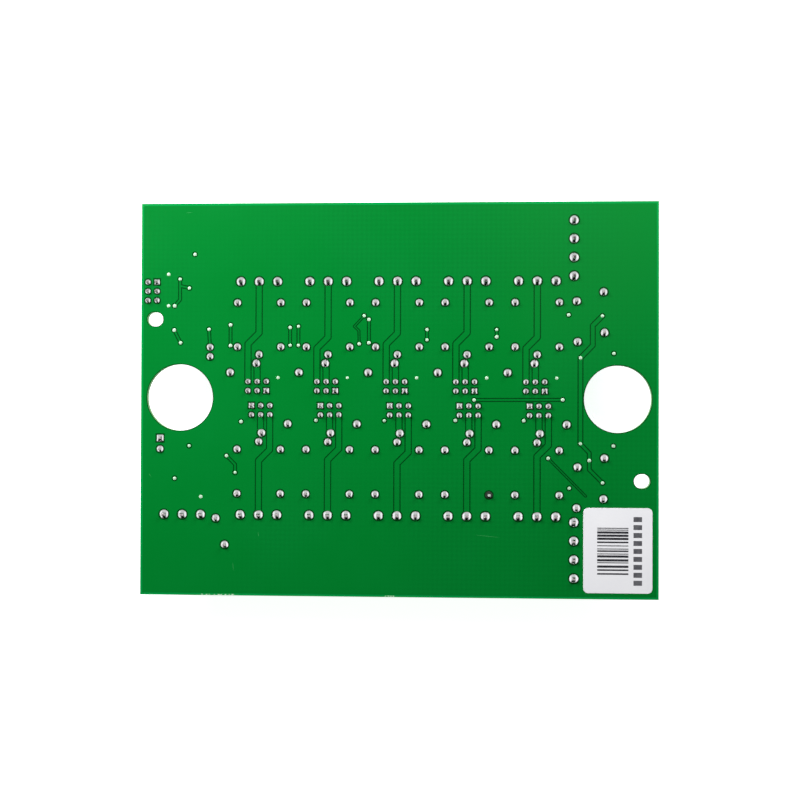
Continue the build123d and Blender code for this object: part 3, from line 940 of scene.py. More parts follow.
def housingBody(bm, ways):
    # one profile lofted along the ways, pinched where two ways meet
    plan = terminalPlan
    outline = roundCorners(plan["side"], plan["round"])
    slim = shrink(outline, plan["grooveDepth"])
    sections = []
    for place in wayPlaces(ways):
        half = plan["pitch"] / 2
        sections += [(place - half, slim), (place - half + plan["groove"], outline),
                     (place + half - plan["groove"], outline)]
    sections.append((wayPlaces(ways)[-1] + plan["pitch"] / 2, slim))
    loft(bm, [[(u, p.x, p.y) for p in section] for u, section in sections])


def chamberCutter(bm, ways):
    half = terminalPlan["mouth"] / 2
    outline = [(-1.3, -0.3), (4.6, -0.3), (4.6, 0.9), (6.6, 0.9), (6.6, 4.9), (-1.3, 4.9)]
    for place in wayPlaces(ways):
        loft(bm, [[(u, v, w) for v, w in outline] for u in (place - half, place + half)])


def funnelCutter(bm, ways):
    half, flare = terminalPlan["mouth"] / 2 - 0.02, terminalPlan["funnel"]
    for place in wayPlaces(ways):
        rings = []
        for v, extra in ((5.55, 0.0), (6.1, flare)):
            rings.append([(place + su * (half + extra), v, w) for su, w in (
                (-1, 0.92 - extra), (1, 0.92 - extra), (1, 4.88 + extra), (-1, 4.88 + extra))])
        loft(bm, rings)


def wellCutter(bm, ways):
    plan = terminalPlan
    for place in wayPlaces(ways):
        lathe(bm, [(plan["well"], plan["wellFloor"]), (plan["well"], 9.72), (plan["well"] + 0.32, 10.05)],
              (place, plan["wellOut"]), 32)


housings = {ways: carve(shape(housingBody, ways), [shape(chamberCutter, ways), shape(funnelCutter, ways),
                                                   shape(wellCutter, ways)]) for ways in (3, 4)}


def screwHead(bm):
    # slotted cheese head: two half discs on a round floor
    plan = terminalPlan
    radius, high, half = plan["screwRadius"], plan["screwTop"], plan["slot"]
    floor = high - plan["slotDepth"]
    lathe(bm, [(radius, plan["wellFloor"] - 0.05), (radius, floor)], facets=32)
    for side in (1, -1):
        rings = []
        for w, inset in ((floor, 0.0), (high - 0.14, 0.0), (high - 0.04, 0.05), (high, 0.16), (high, 0.22)):
            r = radius - inset
            begin = math.asin(half / r)
            arc = [begin + (math.pi - 2 * begin) * i / 14 for i in range(15)]
            rings.append([(side * r * math.cos(a), side * max(r * math.sin(a), half), w) for a in arc])
        loft(bm, rings)


def clampParts(bm):
    # rising cage with a window through it, its pressure plate, the screw's end, and the solder pin
    outerU, lowW, highW, wall = [terminalPlan[k] for k in ("cageHalf", "cageLow", "cageHigh", "cageWall")]
    rings = []
    for v, inset in ((-1.2, 0.06), (-1.14, 0.0), (4.44, 0.0), (4.5, 0.06)):
        outline = roundedRectangle(outerU - inset, (highW - lowW) / 2 - inset, 0.3, 2)
        rings.append([(u, v, (lowW + highW) / 2 + w) for u, w in outline])
    for v in (4.5, 4.3, -1.0, -1.2):
        outline = roundedRectangle(outerU - wall, (highW - lowW) / 2 - wall, 0.12, 2)
        rings.append([(u, v, (lowW + highW) / 2 + w) for u, w in outline])
    loops = loft(bm, rings, capped=False)
    for i in range(len(loops[0])):
        j = (i + 1) % len(loops[0])
        bm.faces.new((loops[-1][i], loops[-1][j], loops[0][j], loops[0][i]))
    block(bm, (0.0, 1.65), (2.3, 4.6), edged(3.2, 3.6, 0.08), corner=0.2)
    lathe(bm, [(1.0, 3.55), (1.25, 3.75), (1.25, 4.35)], (0.0, 1.6), 20)
    block(bm, (0.0, 0.0), (1.0, 0.8), [(-2.9, 0.12), (-2.6, 0.0), (1.0, 0.0)], corner=0.08, facets=1)


def terminalSeats():
    # every terminal node with its place, its outward direction and its count of ways
    for channel in channels:
        yield channel["terminal"], channel["pins"], (0, channel["side"])
    yield "supply_terminal", inside("supply_terminal", terminalTips), (0, -1)
    for node in busTerminals:
        yield node, inside(node, terminalTips), (1, 0)


def buildTerminals():
    draw = random.Random(5)
    screws, clamps = bmesh.new(), bmesh.new()
    head, cage = shape(screwHead), shape(clampParts)
    for node, pins, out in terminalSeats():
        x, y = np.mean(pins, 0)
        place = seat(x, y, out)
        bm = bmesh.new()
        stamp(bm, housings[len(pins)], place)
        name = node + "Housing"
        addPiece(name, meshFrom(name, bm, terminalPlastic, angle=30), "terminal_plastic", node)
        for u in wayPlaces(len(pins)):
            turn = Matrix.Rotation(draw.uniform(-1.2, 1.2), 4, "Z")
            stamp(screws, head, place @ Matrix.Translation((u, terminalPlan["wellOut"], 0)) @ turn)
            stamp(clamps, cage, place @ Matrix.Translation((u, 0, 0)))
    addPiece("terminalScrews", meshFrom("terminalScrews", screws, zinc, angle=30), "tinned_metal")
    clamps = meshFrom("terminalCages", clamps, tinned, angle=30)
    addPiece("terminalCages", clamps, "tinned_metal", "terminal_clamps")


buildTerminals()
print("terminals done")


relayPlan = dict(width=15.5, length=19.0, height=15.3, corner=0.8, seam=1.35, seamDepth=0.22,
                 vent=(5.9, 7.4), ventRadius=0.75, panel=(12.4, 13.6), panelShift=-0.6, panelDepth=0.09)


def relayCase(bm):
    # moulded case over its base plate, closed by a seam
    plan = relayPlan
    seam, depth, height = plan["seam"], plan["seamDepth"], plan["height"]
    levels = [(0.0, 0.3), (0.12, 0.18), (seam - 0.12, 0.18),
              (seam - 0.1, depth + 0.1), (seam + 0.08, depth + 0.1), (seam + 0.1, 0.04), (seam + 0.2, 0.0),
              (height - 0.5, 0.0), (height - 0.27, 0.07), (height - 0.09, 0.23), (height, 0.5)]
    block(bm, (0, 0), (plan["width"], plan["length"]), levels, corner=plan["corner"], facets=4)


def ventCutter(bm):
    height, radius = relayPlan["height"], relayPlan["ventRadius"]
    profile = [(radius, height - 0.3), (radius, height - 0.12), (radius + 0.2, height + 0.1)]
    lathe(bm, profile, relayPlan["vent"], 24)


def panelCutter(bm):
    height = relayPlan["height"]
    levels = [(height - relayPlan["panelDepth"], 0.05), (height + 0.1, 0.0)]
    block(bm, (0, relayPlan["panelShift"]), relayPlan["panel"], levels, corner=0.6, facets=3)


relayBody = carve(shape(relayCase), [shape(ventCutter), shape(panelCutter)])
blade = shape(block, (0, 0), (1.0, 0.5), [(-2.85, 0.14), (-2.5, 0.0), (0.1, 0.0)],
              corner=0.08, facets=1, material=1)
for channel in channels:
    bm = bmesh.new()
    low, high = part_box(channel["relay"])
    stamp(bm, relayBody, seat(channel["middle"], (low.y + high.y) / 2, (0, channel["side"])))
    for tip in channel["leads"]:
        stamp(bm, blade, seat(*tip))
    name = channel["relay"] + "Case"
    addPiece(name, meshFrom(name, bm, relayPlastic, tinned, angle=30), "relay_case", channel["relay"])
print("relays done")


headerPlan = dict(pitch=2.54, base=2.54, notch=0.42, pin=0.64, above=6.0,
                  shunt=(4.94, 2.40), shuntHeight=6.33)


def headerBody(bm):
    # strip of three pairs of pins, notched between every two pairs and at its corners
    half, notch, pitch = headerPlan["pitch"], headerPlan["notch"], headerPlan["pitch"]
    outline = []
    for side in (1, -1):
        for i in range(3):
            middle = side * (1 - i) * pitch
            flat = side * (pitch / 2 - notch)
            outline += [(middle + flat, side * half), (middle - flat, side * half)]
            if i < 2:
                outline.append((middle - side * pitch / 2, side * (half - notch)))
        end = side * 1.5 * pitch
        outline += [(-end, side * (half - notch)), (-end, side * notch), (-end + side * notch, 0.0)]
    levels = ((0.0, 0.985), (0.08, 1.0), (headerPlan["base"] - 0.1, 1.0), (headerPlan["base"], 0.985))
    loft(bm, [[(x * s, y * s, w) for x, y in outline] for w, s in levels])


def headerPin(bm):
    above = headerPlan["base"] + headerPlan["above"]
    size = (headerPlan["pin"],) * 2
    block(bm, (0, 0), size, [(-2.85, 0.16), (-2.45, 0.0), (0.3, 0.0)], corner=0.05, facets=1, material=1)
    block(bm, (0, 0), size, [(0.3, 0.0), (above - 0.45, 0.0), (above, 0.2)], corner=0.05, facets=1)


def shuntCap(bm):
    # cap with a raised grip and a test opening over its contact
    base = headerPlan["base"]
    width, depth, high = *headerPlan["shunt"], base + headerPlan["shuntHeight"]
    levels = [(base, 0.08), (base + 0.12, 0.0), (high - 1.5, 0.0), (high - 1.4, 0.12), (high - 0.15, 0.12),
              (high, 0.24)]
    block(bm, (0, 0), (width, depth), levels, corner=0.3, facets=3)


def shuntCutter(bm):
    high = headerPlan["base"] + headerPlan["shuntHeight"]
    block(bm, (0, 0), (3.4, 1.1), [(high - 1.0, 0.0), (high + 0.2, 0.0)], corner=0.2, facets=2)


def shuntContact(bm):
    high = headerPlan["base"] + headerPlan["shuntHeight"]
    levels = [(high - 1.05, 0.0), (high - 0.62, 0.0), (high - 0.5, 0.1)]
    block(bm, (0, 0), (3.1, 0.5), levels, corner=0.1, facets=2, material=1)


def buildHeaders():
    strip, pin = shape(headerBody), shape(headerPin)
    pinsMesh, shunts = bmesh.new(), bmesh.new()
    cap, contact = carve(shape(shuntCap), [shape(shuntCutter)]), shape(shuntContact)
    for node in jumperHeaders + ["programming_header"]:
        low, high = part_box(node)
        out = (0, 1) if high.x - low.x > high.y - low.y else (1, 0)
        bm = bmesh.new()
        stamp(bm, strip, seat(*middleOf(node), out))
        addPiece(node + "Strip", meshFrom(node + "Strip", bm, blackPlastic, angle=25), "black_plastic", node)
    for tip in headerTips:
        stamp(pinsMesh, pin, seat(*tip))
    for low, high in solidBoxes("jumper_shunts"):
        x, y = (low[0] + high[0]) / 2 * mm, (low[1] + high[1]) / 2 * mm
        stamp(shunts, cap, seat(x, y))
        stamp(shunts, contact, seat(x, y))
    pinsMesh = meshFrom("headerPins", pinsMesh, gilt, tinned, angle=25)
    addPiece("headerPins", pinsMesh, "gilt_pins", "header_pins")
    shunts = meshFrom("shuntCaps", shunts, blackPlastic, gilt, angle=30)
    addPiece("shuntCaps", shunts, "black_plastic", "jumper_shunts")


buildHeaders()
print("headers done")


varistorPlan = dict(radius=5.72, half=2.08, middle=7.25, rimPower=0.42, facePower=0.8, leadRadius=0.35)


def varistorDisc(bm):
    # coated disc on edge, thick in its middle and rounded at its rim
    plan = varistorPlan
    profile = []
    for i in range(15):
        t = -math.pi / 2 + math.pi * i / 14
        reach = plan["radius"] * abs(math.cos(t)) ** plan["rimPower"]
        rise = math.copysign(abs(math.sin(t)) ** plan["facePower"], math.sin(t))
        profile.append((max(reach, 0.15), plan["half"] * rise))
    turns = [2 * math.pi * i / 40 for i in range(40)]
    rings = [[(r * math.cos(a), h, plan["middle"] + r * math.sin(a)) for a in turns] for r, h in profile]
    loft(bm, rings)


def varistorLead(bm, drop):
    # round wire that leaves the coating with a small collar
    r = varistorPlan["leadRadius"]
    lathe(bm, [(r * 0.6, -2.85), (r, -2.6), (r, drop + 1.0)], facets=14, material=1)
    collar = [(r + 0.1, drop - 0.5), (r + 0.32, drop + 0.1), (r + 0.5, drop + 0.9), (r + 0.3, drop + 1.7)]
    lathe(bm, collar, facets=14)


def buildVaristors(node):
    bm = bmesh.new()
    disc, lead = shape(varistorDisc), shape(varistorLead, 2.6)
    ends = leadEnds(node)
    for low, high in solidBoxes(node):
        x, y = (low[0] + high[0]) / 2 * mm, (low[1] + high[1]) / 2 * mm
        out = (0, 1) if high[0] - low[0] > high[1] - low[1] else (1, 0)
        stamp(bm, disc, seat(x, y, out))
        for tip in ends:
            if math.dist(tip, (x, y)) < 4.5 * mm:
                stamp(bm, lead, seat(*tip))
    mesh = meshFrom(node + "Discs", bm, discCoating, tinned, angle=50)
    addPiece(node + "Discs", mesh, "varistor_coating", node)


for node in ("output_varistors", "line_varistors"):
    buildVaristors(node)


def wirePair(bm, spacing, above):
    for side in (-1, 1):
        lathe(bm, [(0.18, -2.85), (0.27, -2.65), (0.27, above)], (side * spacing / 2, 0.0), 12, material=1)


canPlan = dict(radius=3.15, height=10.96, beadAt=1.475, beadDepth=0.17, score=2.0,
               stripeLow=1.0, stripeHigh=10.8, stripeFrom=2.75)
lensPlan = dict(radius=1.42, collar=1.5, collarHeight=0.9, shoulder=3.55)


def canBody(bm):
    # sleeved can with a rolled bead near its bung and a scored end
    r, high, bead, depth = [canPlan[k] for k in ("radius", "height", "beadAt", "beadDepth")]
    profile = [(r - 0.65, 0.02), (r - 0.3, 0.1), (r - 0.03, 0.35), (r - 0.01, bead - 0.475),
               (r - depth, bead - 0.125), (r - depth, bead + 0.125), (r - 0.01, bead + 0.475),
               (r, high - 0.36), (r - 0.1, high - 0.08), (r - 0.3, high)]
    lathe(bm, profile, facets=48)
    end = [(r - 0.35, high - 0.06), (r - 0.4, high + 0.02), (r - 0.85, high + 0.03)]
    lathe(bm, end, facets=48, material=1)


def scoreCutter(bm):
    reach, high = canPlan["score"], canPlan["height"]
    for angle in (0.0, math.pi / 3, 2 * math.pi / 3):
        c, s = math.cos(angle), math.sin(angle)
        rings = []
        for w, half in ((high - 0.03, 0.05), (high + 0.24, 0.2)):
            corners = ((-reach, -half), (reach, -half), (reach, half), (-reach, half))
            rings.append([(u * c - v * s, u * s + v * c, w) for u, v in corners])
        loft(bm, rings)


def lensBody(bm):
    r, collar, low, shoulder = [lensPlan[k] for k in ("radius", "collar", "collarHeight", "shoulder")]
    dome = [(r * math.cos(t), shoulder + r * math.sin(t)) for t in (0.0, 0.25, 0.5, 0.75, 1.0, 1.2, 1.4)]
    lathe(bm, [(collar, 0.0), (collar, low), (r + 0.01, low + 0.1)] + dome, facets=36)


def buildUpright(node, body, slotName, name, *materials):
    bm = bmesh.new()
    ends = leadEnds(node)
    x, y = np.mean(ends, 0)
    out = (1, 0) if abs(ends[0][1] - ends[1][1]) > 0.5 * mm else (0, 1)
    stamp(bm, body, seat(x, y, out))
    stampShape(bm, seat(x, y, out), wirePair, math.dist(*ends) / mm, 0.3)
    addPiece(name, meshFrom(name, bm, *materials, angle=40), slotName, node)


def stripedCan():
    # the sleeve's stripe is a field of paler colour along the can
    mesh = carve(shape(canBody), [shape(scoreCutter)])
    for polygon in mesh.polygons:
        x, y, z = polygon.center
        onSleeve = polygon.material_index == 0 and math.hypot(x, y) > canPlan["radius"] - 0.55
        upright = canPlan["stripeLow"] < z < canPlan["stripeHigh"]
        if onSleeve and upright and math.atan2(y, x) > canPlan["stripeFrom"]:
            polygon.material_index = 2
    return mesh


buildUpright("supply_capacitor", stripedCan(), "capacitor_sleeve", "supplyCan", sleeve, tinned, sleeveStripe)
buildUpright("power_light", shape(lensBody), "light_lens", "powerLens", lightLens, tinned)
print("upright parts done")


# Width, length and height of each chip, and the count, pitch, width and span of its feet
chipPlan = dict(
    footThickness=0.18, clearance=0.12,
    controller=dict(size=(8.2, 8.2, 1.0), feet=11, pitch=0.65, foot=0.28, span=9.0),
    transceiver=dict(size=(3.9, 4.9, 1.4), feet=4, pitch=1.27, foot=0.42, span=6.0),
    regulator=dict(size=(3.5, 6.5, 1.6), feet=3, pitch=2.3, foot=0.7, span=7.0),
    passive=dict(size=(1.25, 2.0, 0.6), cap=0.34),
    diode=dict(size=(1.56, 2.9, 1.3), band=0.34),
    driver=dict(size=(1.3, 2.9, 1.0), foot=0.4, span=2.4),
    status=dict(size=(1.25, 2.0, 0.8), lens=(1.2, 1.25)),
    crystal=dict(size=(3.2, 5.0, 1.1), lid=(2.9, 4.7)),
)


def gullFoot(bm, root, reach, height, place, width):
    # lead that leaves a package's side, bends down and rests flat on its pad
    t = chipPlan["footThickness"]
    path = [(root - 0.2, height), (root + 0.18, height), (root + 0.38, height * 0.55),
            (root + 0.5, t / 2 + 0.06), (reach - 0.08, t / 2 + 0.02), (reach, t / 2 + 0.02)]
    bar(bm, path, width, t, place, 1)


def padPatch(bm, centre, size, material=1):
    block(bm, centre, size, [(0.0, 0.0), (0.04, 0.0), (0.06, 0.04)], corner=0.08, facets=2, material=material)


def moulded(bm, size, base, chamfer=0.12):
    width, length, height = size
    middle = (base + height) / 2
    levels = [(base, chamfer), (middle, 0.0), (height - 0.02, chamfer), (height, chamfer + 0.05)]
    block(bm, (0, 0), (width, length), levels, corner=0.1, facets=2)


def sideFeet(bm, half, reach, places, height, width):
    for side, vs in zip((1, -1), places):
        for v in vs:
            place = Matrix.Translation((0, v, 0)) @ Matrix.Rotation(0 if side > 0 else math.pi, 4, "Z")
            gullFoot(bm, half, reach, height, place, width)
            padPatch(bm, (side * (reach - 0.2), v), (1.1, width + 0.3))


def dimple(bm, u, v, height):
    lathe(bm, [(0.32, height - 0.01), (0.28, height + 0.012), (0.1, height + 0.012)], (u, v), 16, material=0)


def packageBody(bm, kind, right, left):
    # moulded package with feet along two sides
    plan = chipPlan[kind]
    moulded(bm, plan["size"], chipPlan["clearance"])
    sideFeet(bm, plan["size"][0] / 2, plan["span"] / 2, (right, left), plan["size"][2] * 0.5, plan["foot"])


def transceiverBody(bm):
    feet = row(chipPlan["transceiver"]["feet"], chipPlan["transceiver"]["pitch"])
    packageBody(bm, "transceiver", feet, feet)
    dimple(bm, -1.3, 1.8, chipPlan["transceiver"]["size"][2])


def regulatorBody(bm):
    # three feet on one side and a wide one across from them
    packageBody(bm, "regulator", [0.0], row(chipPlan["regulator"]["feet"], chipPlan["regulator"]["pitch"]))


def controllerBody(bm):
    # flat square package with feet along all four sides, each on its pad
    plan = chipPlan["controller"]
    width, length, height = plan["size"]
    moulded(bm, plan["size"], chipPlan["clearance"])
    dimple(bm, -3.2, 3.2, height)
    for quarter in range(4):
        turn = Matrix.Rotation(quarter * math.pi / 2, 4, "Z")
        padSize = (0.9, 0.36) if quarter % 2 == 0 else (0.36, 0.9)
        for v in row(plan["feet"], plan["pitch"]):
            place = turn @ Matrix.Translation((0, v, 0))
            gullFoot(bm, width / 2, plan["span"] / 2, height / 2, place, plan["foot"])
            padPatch(bm, (turn @ Vector((plan["span"] / 2 + 0.05, v, 0)))[:2], padSize)


def chipBody(bm, inner):
    # ceramic body between two wrapped metal ends, on its pads; the long side runs outward
    width, length, height = chipPlan["passive"]["size"]
    cap = chipPlan["passive"]["cap"]
    block(bm, (0, 0), (width - 0.06, length - 2 * cap + 0.1), edged(0.06, height - 0.02, 0.03),
          corner=0.04, facets=1, material=inner)
    for side in (-1, 1):
        block(bm, (0, side * (length - cap) / 2), (width, cap), edged(0.04, height, 0.05),
              corner=0.06, facets=2, material=1)
        padPatch(bm, (0, side * (length / 2 + 0.05)), (width + 0.1, 0.9), 1)


def diodeBody(bm):
    # moulded body with a wrapped foot at each end and a pale band at one
    width, length, height = chipPlan["diode"]["size"]
    moulded(bm, (width, length, height), 0.15, 0.1)
    band = (width - 0.16, chipPlan["diode"]["band"])
    levels = [(height - 0.06, 0.0), (height + 0.012, 0.0)]
    block(bm, (0, 1.0), band, levels, corner=0.03, facets=1, material=2)
    foot = [(1.2, 0.7), (1.66, 0.68), (1.74, 0.55), (1.72, 0.15), (1.5, 0.1), (1.1, 0.1)]
    for side in (-1, 1):
        bar(bm, foot, 1.1, 0.14, Matrix.Rotation(side * math.pi / 2, 4, "Z"), 1)
        padPatch(bm, (0, side * 1.6), (1.5, 1.1))


def driverBody(bm):
    # three footed transistor: two feet on one side and one on the other
    plan = chipPlan["driver"]
    moulded(bm, plan["size"], 0.1, 0.08)
    sideFeet(bm, plan["size"][0] / 2, plan["span"] / 2, ((0.95, -0.95), (0.0,)), 0.45, plan["foot"])


def statusBody(bm):
    # clear lens on a white base between two metal ends
    width, length, height = chipPlan["status"]["size"]
    block(bm, (0, 0), (width, length), edged(0.04, 0.34, 0.03), corner=0.05, facets=1, material=2)
    levels = [(0.34, 0.0), (height - 0.08, 0.06), (height, 0.14)]
    block(bm, (0, 0), chipPlan["status"]["lens"], levels, corner=0.1, facets=2)
    for side in (-1, 1):
        block(bm, (0, side * (length / 2 - 0.14)), (width, 0.28), edged(0.02, 0.4, 0.03),
              corner=0.04, facets=1, material=1)
        padPatch(bm, (0, side * (length / 2 + 0.05)), (width + 0.1, 0.9), 1)


def crystalBody(bm):
    # metal lid on a ceramic base with a pad at each corner
    width, length, height = chipPlan["crystal"]["size"]
    block(bm, (0, 0), (width, length), [(0.04, 0.0), (0.5, 0.0)], corner=0.2, facets=2)
    levels = [(0.5, 0.0), (height - 0.15, 0.0), (height, 0.16)]
    block(bm, (0, 0), chipPlan["crystal"]["lid"], levels, corner=0.4, facets=3, material=1)
    for su in (-1, 1):
        for sv in (-1, 1):
            padPatch(bm, (su * 1.25, sv * 2.1), (1.3, 1.3))


def pullFromSlots(bm, reach=2.1 * mm, half=0.25 * mm):
    # no pad hangs over the edge of a slot
    for mount in boardMounts:
        if mount["name"].endswith("_slot"):
            x, y = mount["pos_m"][:2]
            for vert in bm.verts:
                core = Vector((x + min(max(vert.co.x - x, -half), half), y))
                away = vert.co.xy - core
                if away.length < reach and abs(vert.co.z - componentFace) < 0.08 * mm:
                    vert.co.xy = core + away.normalized() * reach


def placeChips(node, name, slotName, materials, body, *values):
    mesh = shape(body, *values)
    bm = bmesh.new()
    for low, high in solidBoxes(node):
        x, y = (low[0] + high[0]) / 2 * mm, (low[1] + high[1]) / 2 * mm
        out = (0, 1) if high[1] - low[1] >= high[0] - low[0] else (1, 0)
        stamp(bm, mesh, seat(x, y, out))
    pullFromSlots(bm)
    addPiece(name, meshFrom(name, bm, *materials, angle=28), slotName, node)


moulding, ceramic = "chip_plastic", "chip_ceramic"
placeChips("bus_transceiver", "transceiverPackage", moulding, (chipPlastic, tinned), transceiverBody)
placeChips("voltage_regulator", "regulatorPackage", moulding, (chipPlastic, tinned), regulatorBody)
placeChips("controller_chip", "controllerPackage", moulding, (chipPlastic, tinned), controllerBody)
placeChips("crystal", "crystalCan", ceramic, (chipCeramic, tinned), crystalBody)
placeChips("driver_transistors", "driverPackages", moulding, (chipPlastic, tinned), driverBody)
placeChips("clamp_diodes", "diodePackages", moulding, (chipPlastic, tinned, whiteInk), diodeBody)
placeChips("status_lights", "statusPackages", "light_lens", (statusLens, tinned, whiteInk), statusBody)
placeChips("chip_resistors", "resistorChips", ceramic, (chipPlastic, tinned), chipBody, 0)
placeChips("chip_capacitors", "capacitorChips", ceramic, (chipCeramic, tinned), chipBody, 0)
print("chips done")


# Gap between each part and the thin white frame round it, which has no lettering
outlinePlan = dict(width=0.16, low=0.04, high=0.062, blockGap=0.12,
                   gaps=dict(controller_chip=1.0, crystal=0.45, bus_transceiver=0.4, voltage_regulator=0.4,
                             programming_header=0.25))


def buildOutlines():
    bm = bmesh.new()
    width = outlinePlan["width"]
    levels = [(outlinePlan["low"], 0.0), (outlinePlan["high"], 0.0)]
    under = Matrix.Translation((0, 0, componentFace)) @ Matrix.Diagonal((mm, mm, -mm, 1))

    def frameRound(low, high, gap):
        x0, y0, x1, y1 = low.x / mm - gap, low.y / mm - gap, high.x / mm + gap, high.y / mm + gap
        for a, b, c, d in ((x0, y0, x1, y0 + width), (x0, y1 - width, x1, y1),
                           (x0, y0 + width, x0 + width, y1 - width),
                           (x1 - width, y0 + width, x1, y1 - width)):
            middle, size = ((a + c) / 2, (b + d) / 2), (c - a, d - b)
            stampShape(bm, under, block, middle, size, levels, corner=0.03, facets=1)

    for node in list(outlinePlan["gaps"]) + relayNodes + outputTerminals + busTerminals:
        low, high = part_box(node)
        frameRound(low, high, outlinePlan["gaps"].get(node, outlinePlan["blockGap"]))
    return addPiece("printedOutlines", meshFrom("printedOutlines", bm, whiteInk), "board")


buildOutlines()


# Chipped places along the lower edge as start, end, level, count and size, and scratches from point to point
wearPlan = dict(
    rise=0.004, inset=0.02,
    chips=[(-53.8, -44.6, -53.78, 9, 0.34), (-3.6, -0.6, -53.74, 4, 0.26)],
    scratches=[((21.0, -36.8), (28.2, -37.5)), ((-45.2, -44.8), (-44.9, -47.2)),
               ((-38.3, -36.4), (-37.9, -37.8)), ((-68.6, -20.6), (-67.9, -21.6)),
               ((-58.6, 51.4), (-56.8, 51.5))],
)


def buildWear():
    draw = random.Random(21)
    chips, lines = bmesh.new(), bmesh.new()
    level = solderFace + copperPlan["thickness"] + wearPlan["rise"] * mm
    lowest = wearPlan["inset"] * mm - boardHigh.y
    for x0, x1, y, count, size in wearPlan["chips"]:
        for i in range(count):
            x = x0 + (x1 - x0) * (i + draw.uniform(0.1, 0.9)) / count
            reach = size * draw.uniform(0.4, 1.0)
            points = []
            for k in range(9):
                turn = 2 * math.pi * k / 9
                r = reach * draw.uniform(0.55, 1.0)
                py = (y + 0.6 * r * math.sin(turn)) * mm
                points.append(((x + 1.5 * r * math.cos(turn)) * mm, max(py, lowest)))
            loft(chips, [[(px, py, w) for px, py in points] for w in (solderFace + 0.01 * mm, level)])
    for a, b in wearPlan["scratches"]:
        a, b = Vector(a), Vector(b)
        along = (b - a).normalized()
        side = Vector((-along.y, along.x)) * 0.035
        near, far = a + (b - a) * 0.3, a + (b - a) * 0.7
        ring = [a, near + side, far + side, b, far - side, near - side]
        loft(lines, [[(p.x * mm, p.y * mm, w) for p in ring] for w in (level - 0.02 * mm, level)])
    addPiece("edgeChips", meshFrom("edgeChips", chips, chippedEdge), "board")
    addPiece("scratchLines", meshFrom("scratchLines", lines, scratchTone), "board")


buildWear()


# The board's own solder side, component side and cut edges
boardMesh = allNodes["circuit_board"].data
boardMesh.materials.clear()
for material in (maskOverBare, maskUnder, cutEdge):
    boardMesh.materials.append(material)
for polygon in boardMesh.polygons:
    if abs(polygon.normal.z) < 0.5:
        polygon.material_index = 2
    else:
        polygon.material_index = 0 if polygon.normal.z > 0 else 1
print("board done")


stagePlan = dict(
    floorSize=3.0, floorTone=0.82, floorGlow=0.85, floorDrop=0.02 * mm, worldTone=0.22, glossTone=1.25,
    # each wall of the studio begins at the first height, is full at the second, and has the third as its tone
    sides=(0.30, 0.68, 0.88), north=(0.10, 0.40, 0.52), low=(-0.05, -0.35, 0.80), softness=1.6,
    sheens=[((-0.21, 0.12, 1.0), 0.05), ((0.13, 0.15, 1.0), 0.20)], sheenReach=7.0,
)
lampPlan = [
    # name, place, aim, width, depth, power
    ("leftSoftbox", (-0.16, 0.15, 0.21), (0.0, 0.0, 0.0), 0.16, 0.12, 1.20),
    ("rightSoftbox", (0.13, 0.16, 0.14), (0.0, 0.0, 0.0), 0.12, 0.10, 0.42),
    ("underFill", (0.0, 0.0, -0.25), (0.0, 0.0, 0.0), 0.30, 0.25, 1.0),
]


def buildStage():
    bm = bmesh.new()
    half = stagePlan["floorSize"] / 2
    corners = ((-half, -half), (half, -half), (half, half), (-half, half))
    bm.faces.new([bm.verts.new((x, y, -stagePlan["floorDrop"])) for x, y in corners])
    floorPaint = bpy.data.materials.new("floorPaint")
    floorPaint.use_nodes = True
    nodes, links = floorPaint.node_tree.nodes, floorPaint.node_tree.links
    shader = nodes["Principled BSDF"]
    tone = stagePlan["floorTone"]
    shader.inputs["Base Color"].default_value = (tone, tone, tone, 1)
    shader.inputs["Roughness"].default_value = 0.9
    shader.inputs["Specular IOR Level"].default_value = 0.1
    path = nodes.new("ShaderNodeLightPath")
    seen = mathNode(nodes, links, "MAXIMUM", path.outputs["Is Camera Ray"], path.outputs["Is Glossy Ray"])
    seen = mathNode(nodes, links, "MAXIMUM", seen, path.outputs["Is Transmission Ray"])
    glow = mathNode(nodes, links, "MULTIPLY", seen, stagePlan["floorGlow"])
    shader.inputs["Emission Color"].default_value = (1, 1, 1, 1)
    links.new(glow, shader.inputs["Emission Strength"])
    # seen from below, the floor lets the object show
    facing, clear = nodes.new("ShaderNodeNewGeometry"), nodes.new("ShaderNodeBsdfTransparent")
    either = nodes.new("ShaderNodeMixShader")
    through = mathNode(nodes, links, "MAXIMUM", facing.outputs["Backfacing"], path.outputs["Is Shadow Ray"])
    links.new(through, either.inputs[0])
    links.new(shader.outputs[0], either.inputs[1])
    links.new(clear.outputs[0], either.inputs[2])
    links.new(either.outputs[0], nodes["Material Output"].inputs["Surface"])
    mesh = meshFrom("floor", bm, floorPaint)
    floor = bpy.data.objects.new("floor", mesh)
    bpy.context.scene.collection.objects.link(floor)


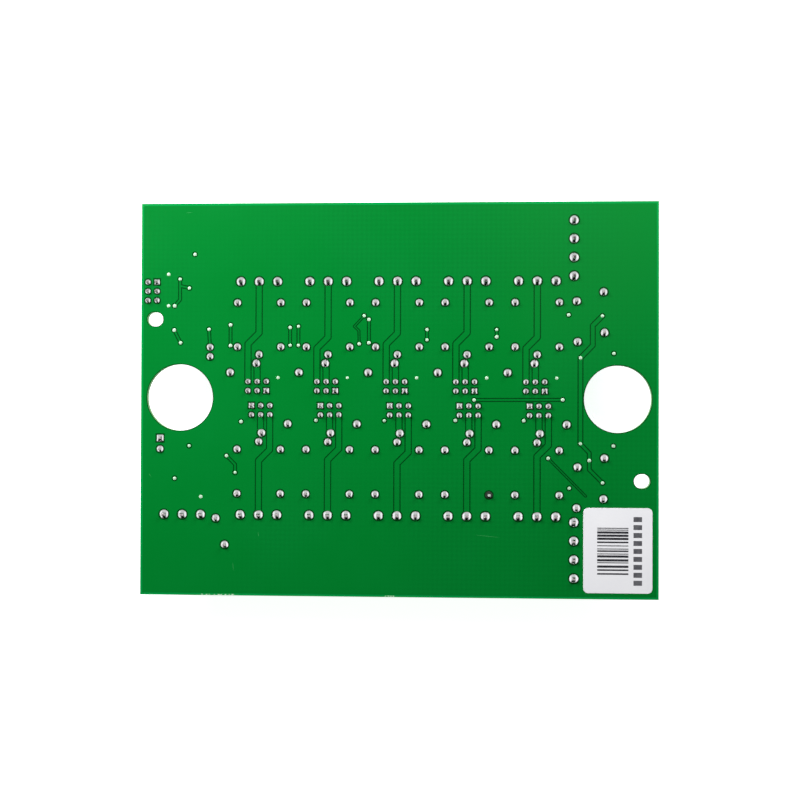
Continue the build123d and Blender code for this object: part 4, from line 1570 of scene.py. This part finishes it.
def buildWorld():
    world = bpy.data.worlds.new("studio")
    bpy.context.scene.world = world
    world.use_nodes = True
    nodes, links = world.node_tree.nodes, world.node_tree.links
    background = nodes["Background"]
    path = nodes.new("ShaderNodeLightPath")
    place = nodes.new("ShaderNodeTexCoord")
    # for gloss, the studio is white at both sides, paler to the north, and dark overhead and to the south
    axes = nodes.new("ShaderNodeSeparateXYZ")
    links.new(place.outputs["Generated"], axes.inputs[0])
    across = mathNode(nodes, links, "ABSOLUTE", axes.outputs["X"])
    fade = 0.0
    for value, wall in ((across, "sides"), (axes.outputs["Y"], "north"), (axes.outputs["Z"], "low")):
        begin, full, level = stagePlan[wall]
        rising = rangeNode(nodes, links, value, begin, full)
        rising = mathNode(nodes, links, "POWER", rising, stagePlan["softness"])
        fade = mathNode(nodes, links, "MAXIMUM", mathNode(nodes, links, "MULTIPLY", rising, level), fade)
    gloss = mathNode(nodes, links, "MULTIPLY", fade, stagePlan["glossTone"])
    for direction, level in stagePlan["sheens"]:
        towards = nodes.new("ShaderNodeVectorMath")
        towards.operation = "DOT_PRODUCT"
        links.new(place.outputs["Generated"], towards.inputs[0])
        towards.inputs[1].default_value = Vector(direction).normalized()
        rim = math.cos(math.radians(stagePlan["sheenReach"]))
        patch = rangeNode(nodes, links, towards.outputs["Value"], rim, 1.0, 0.0, level)
        gloss = mathNode(nodes, links, "ADD", gloss, patch)
    amount = nodes.new("ShaderNodeMix")
    amount.data_type = "FLOAT"
    links.new(path.outputs["Is Glossy Ray"], amount.inputs[0])
    amount.inputs[2].default_value = stagePlan["worldTone"]
    links.new(gloss, amount.inputs[3])
    strength = nodes.new("ShaderNodeMix")
    strength.data_type = "FLOAT"
    links.new(path.outputs["Is Camera Ray"], strength.inputs[0])
    links.new(amount.outputs[0], strength.inputs[2])
    strength.inputs[3].default_value = 1.0
    links.new(strength.outputs[0], background.inputs["Strength"])
    background.inputs["Color"].default_value = (1, 1, 1, 1)


def addLamp(name, place, aim, width, depth, power):
    data = bpy.data.lights.new(name, "AREA")
    data.shape = "RECTANGLE"
    data.size, data.size_y = width, depth
    data.energy = power
    lamp = bpy.data.objects.new(name, data)
    lamp.location = place
    lamp.rotation_euler = (Vector(aim) - Vector(place)).to_track_quat("-Z", "Y").to_euler()
    lamp.visible_camera = False
    lamp.visible_glossy = False
    bpy.context.scene.collection.objects.link(lamp)


# Place above the board's upper face in millimetres, turn in degrees, lens in millimetres
cameraPlan = dict(place=(14.4, -2.55, 300.0), turn=(0.467, 2.6, 0.17), lens=49.42)


def buildCamera():
    plan = cameraPlan
    data = bpy.data.cameras.new("camera")
    data.lens = plan["lens"]
    data.sensor_width = 36.0
    data.clip_start = 0.01
    camera = bpy.data.objects.new("camera", data)
    x, y, z = plan["place"]
    camera.location = (x * mm, y * mm, solderFace + z * mm)
    camera.rotation_euler = [math.radians(a) for a in plan["turn"]]
    bpy.context.scene.collection.objects.link(camera)
    bpy.context.scene.camera = camera


buildStage()
buildWorld()
for lamp in lampPlan:
    addLamp(*lamp)
buildCamera()
bpy.context.scene.view_settings.view_transform = "Standard"
print("stage done")
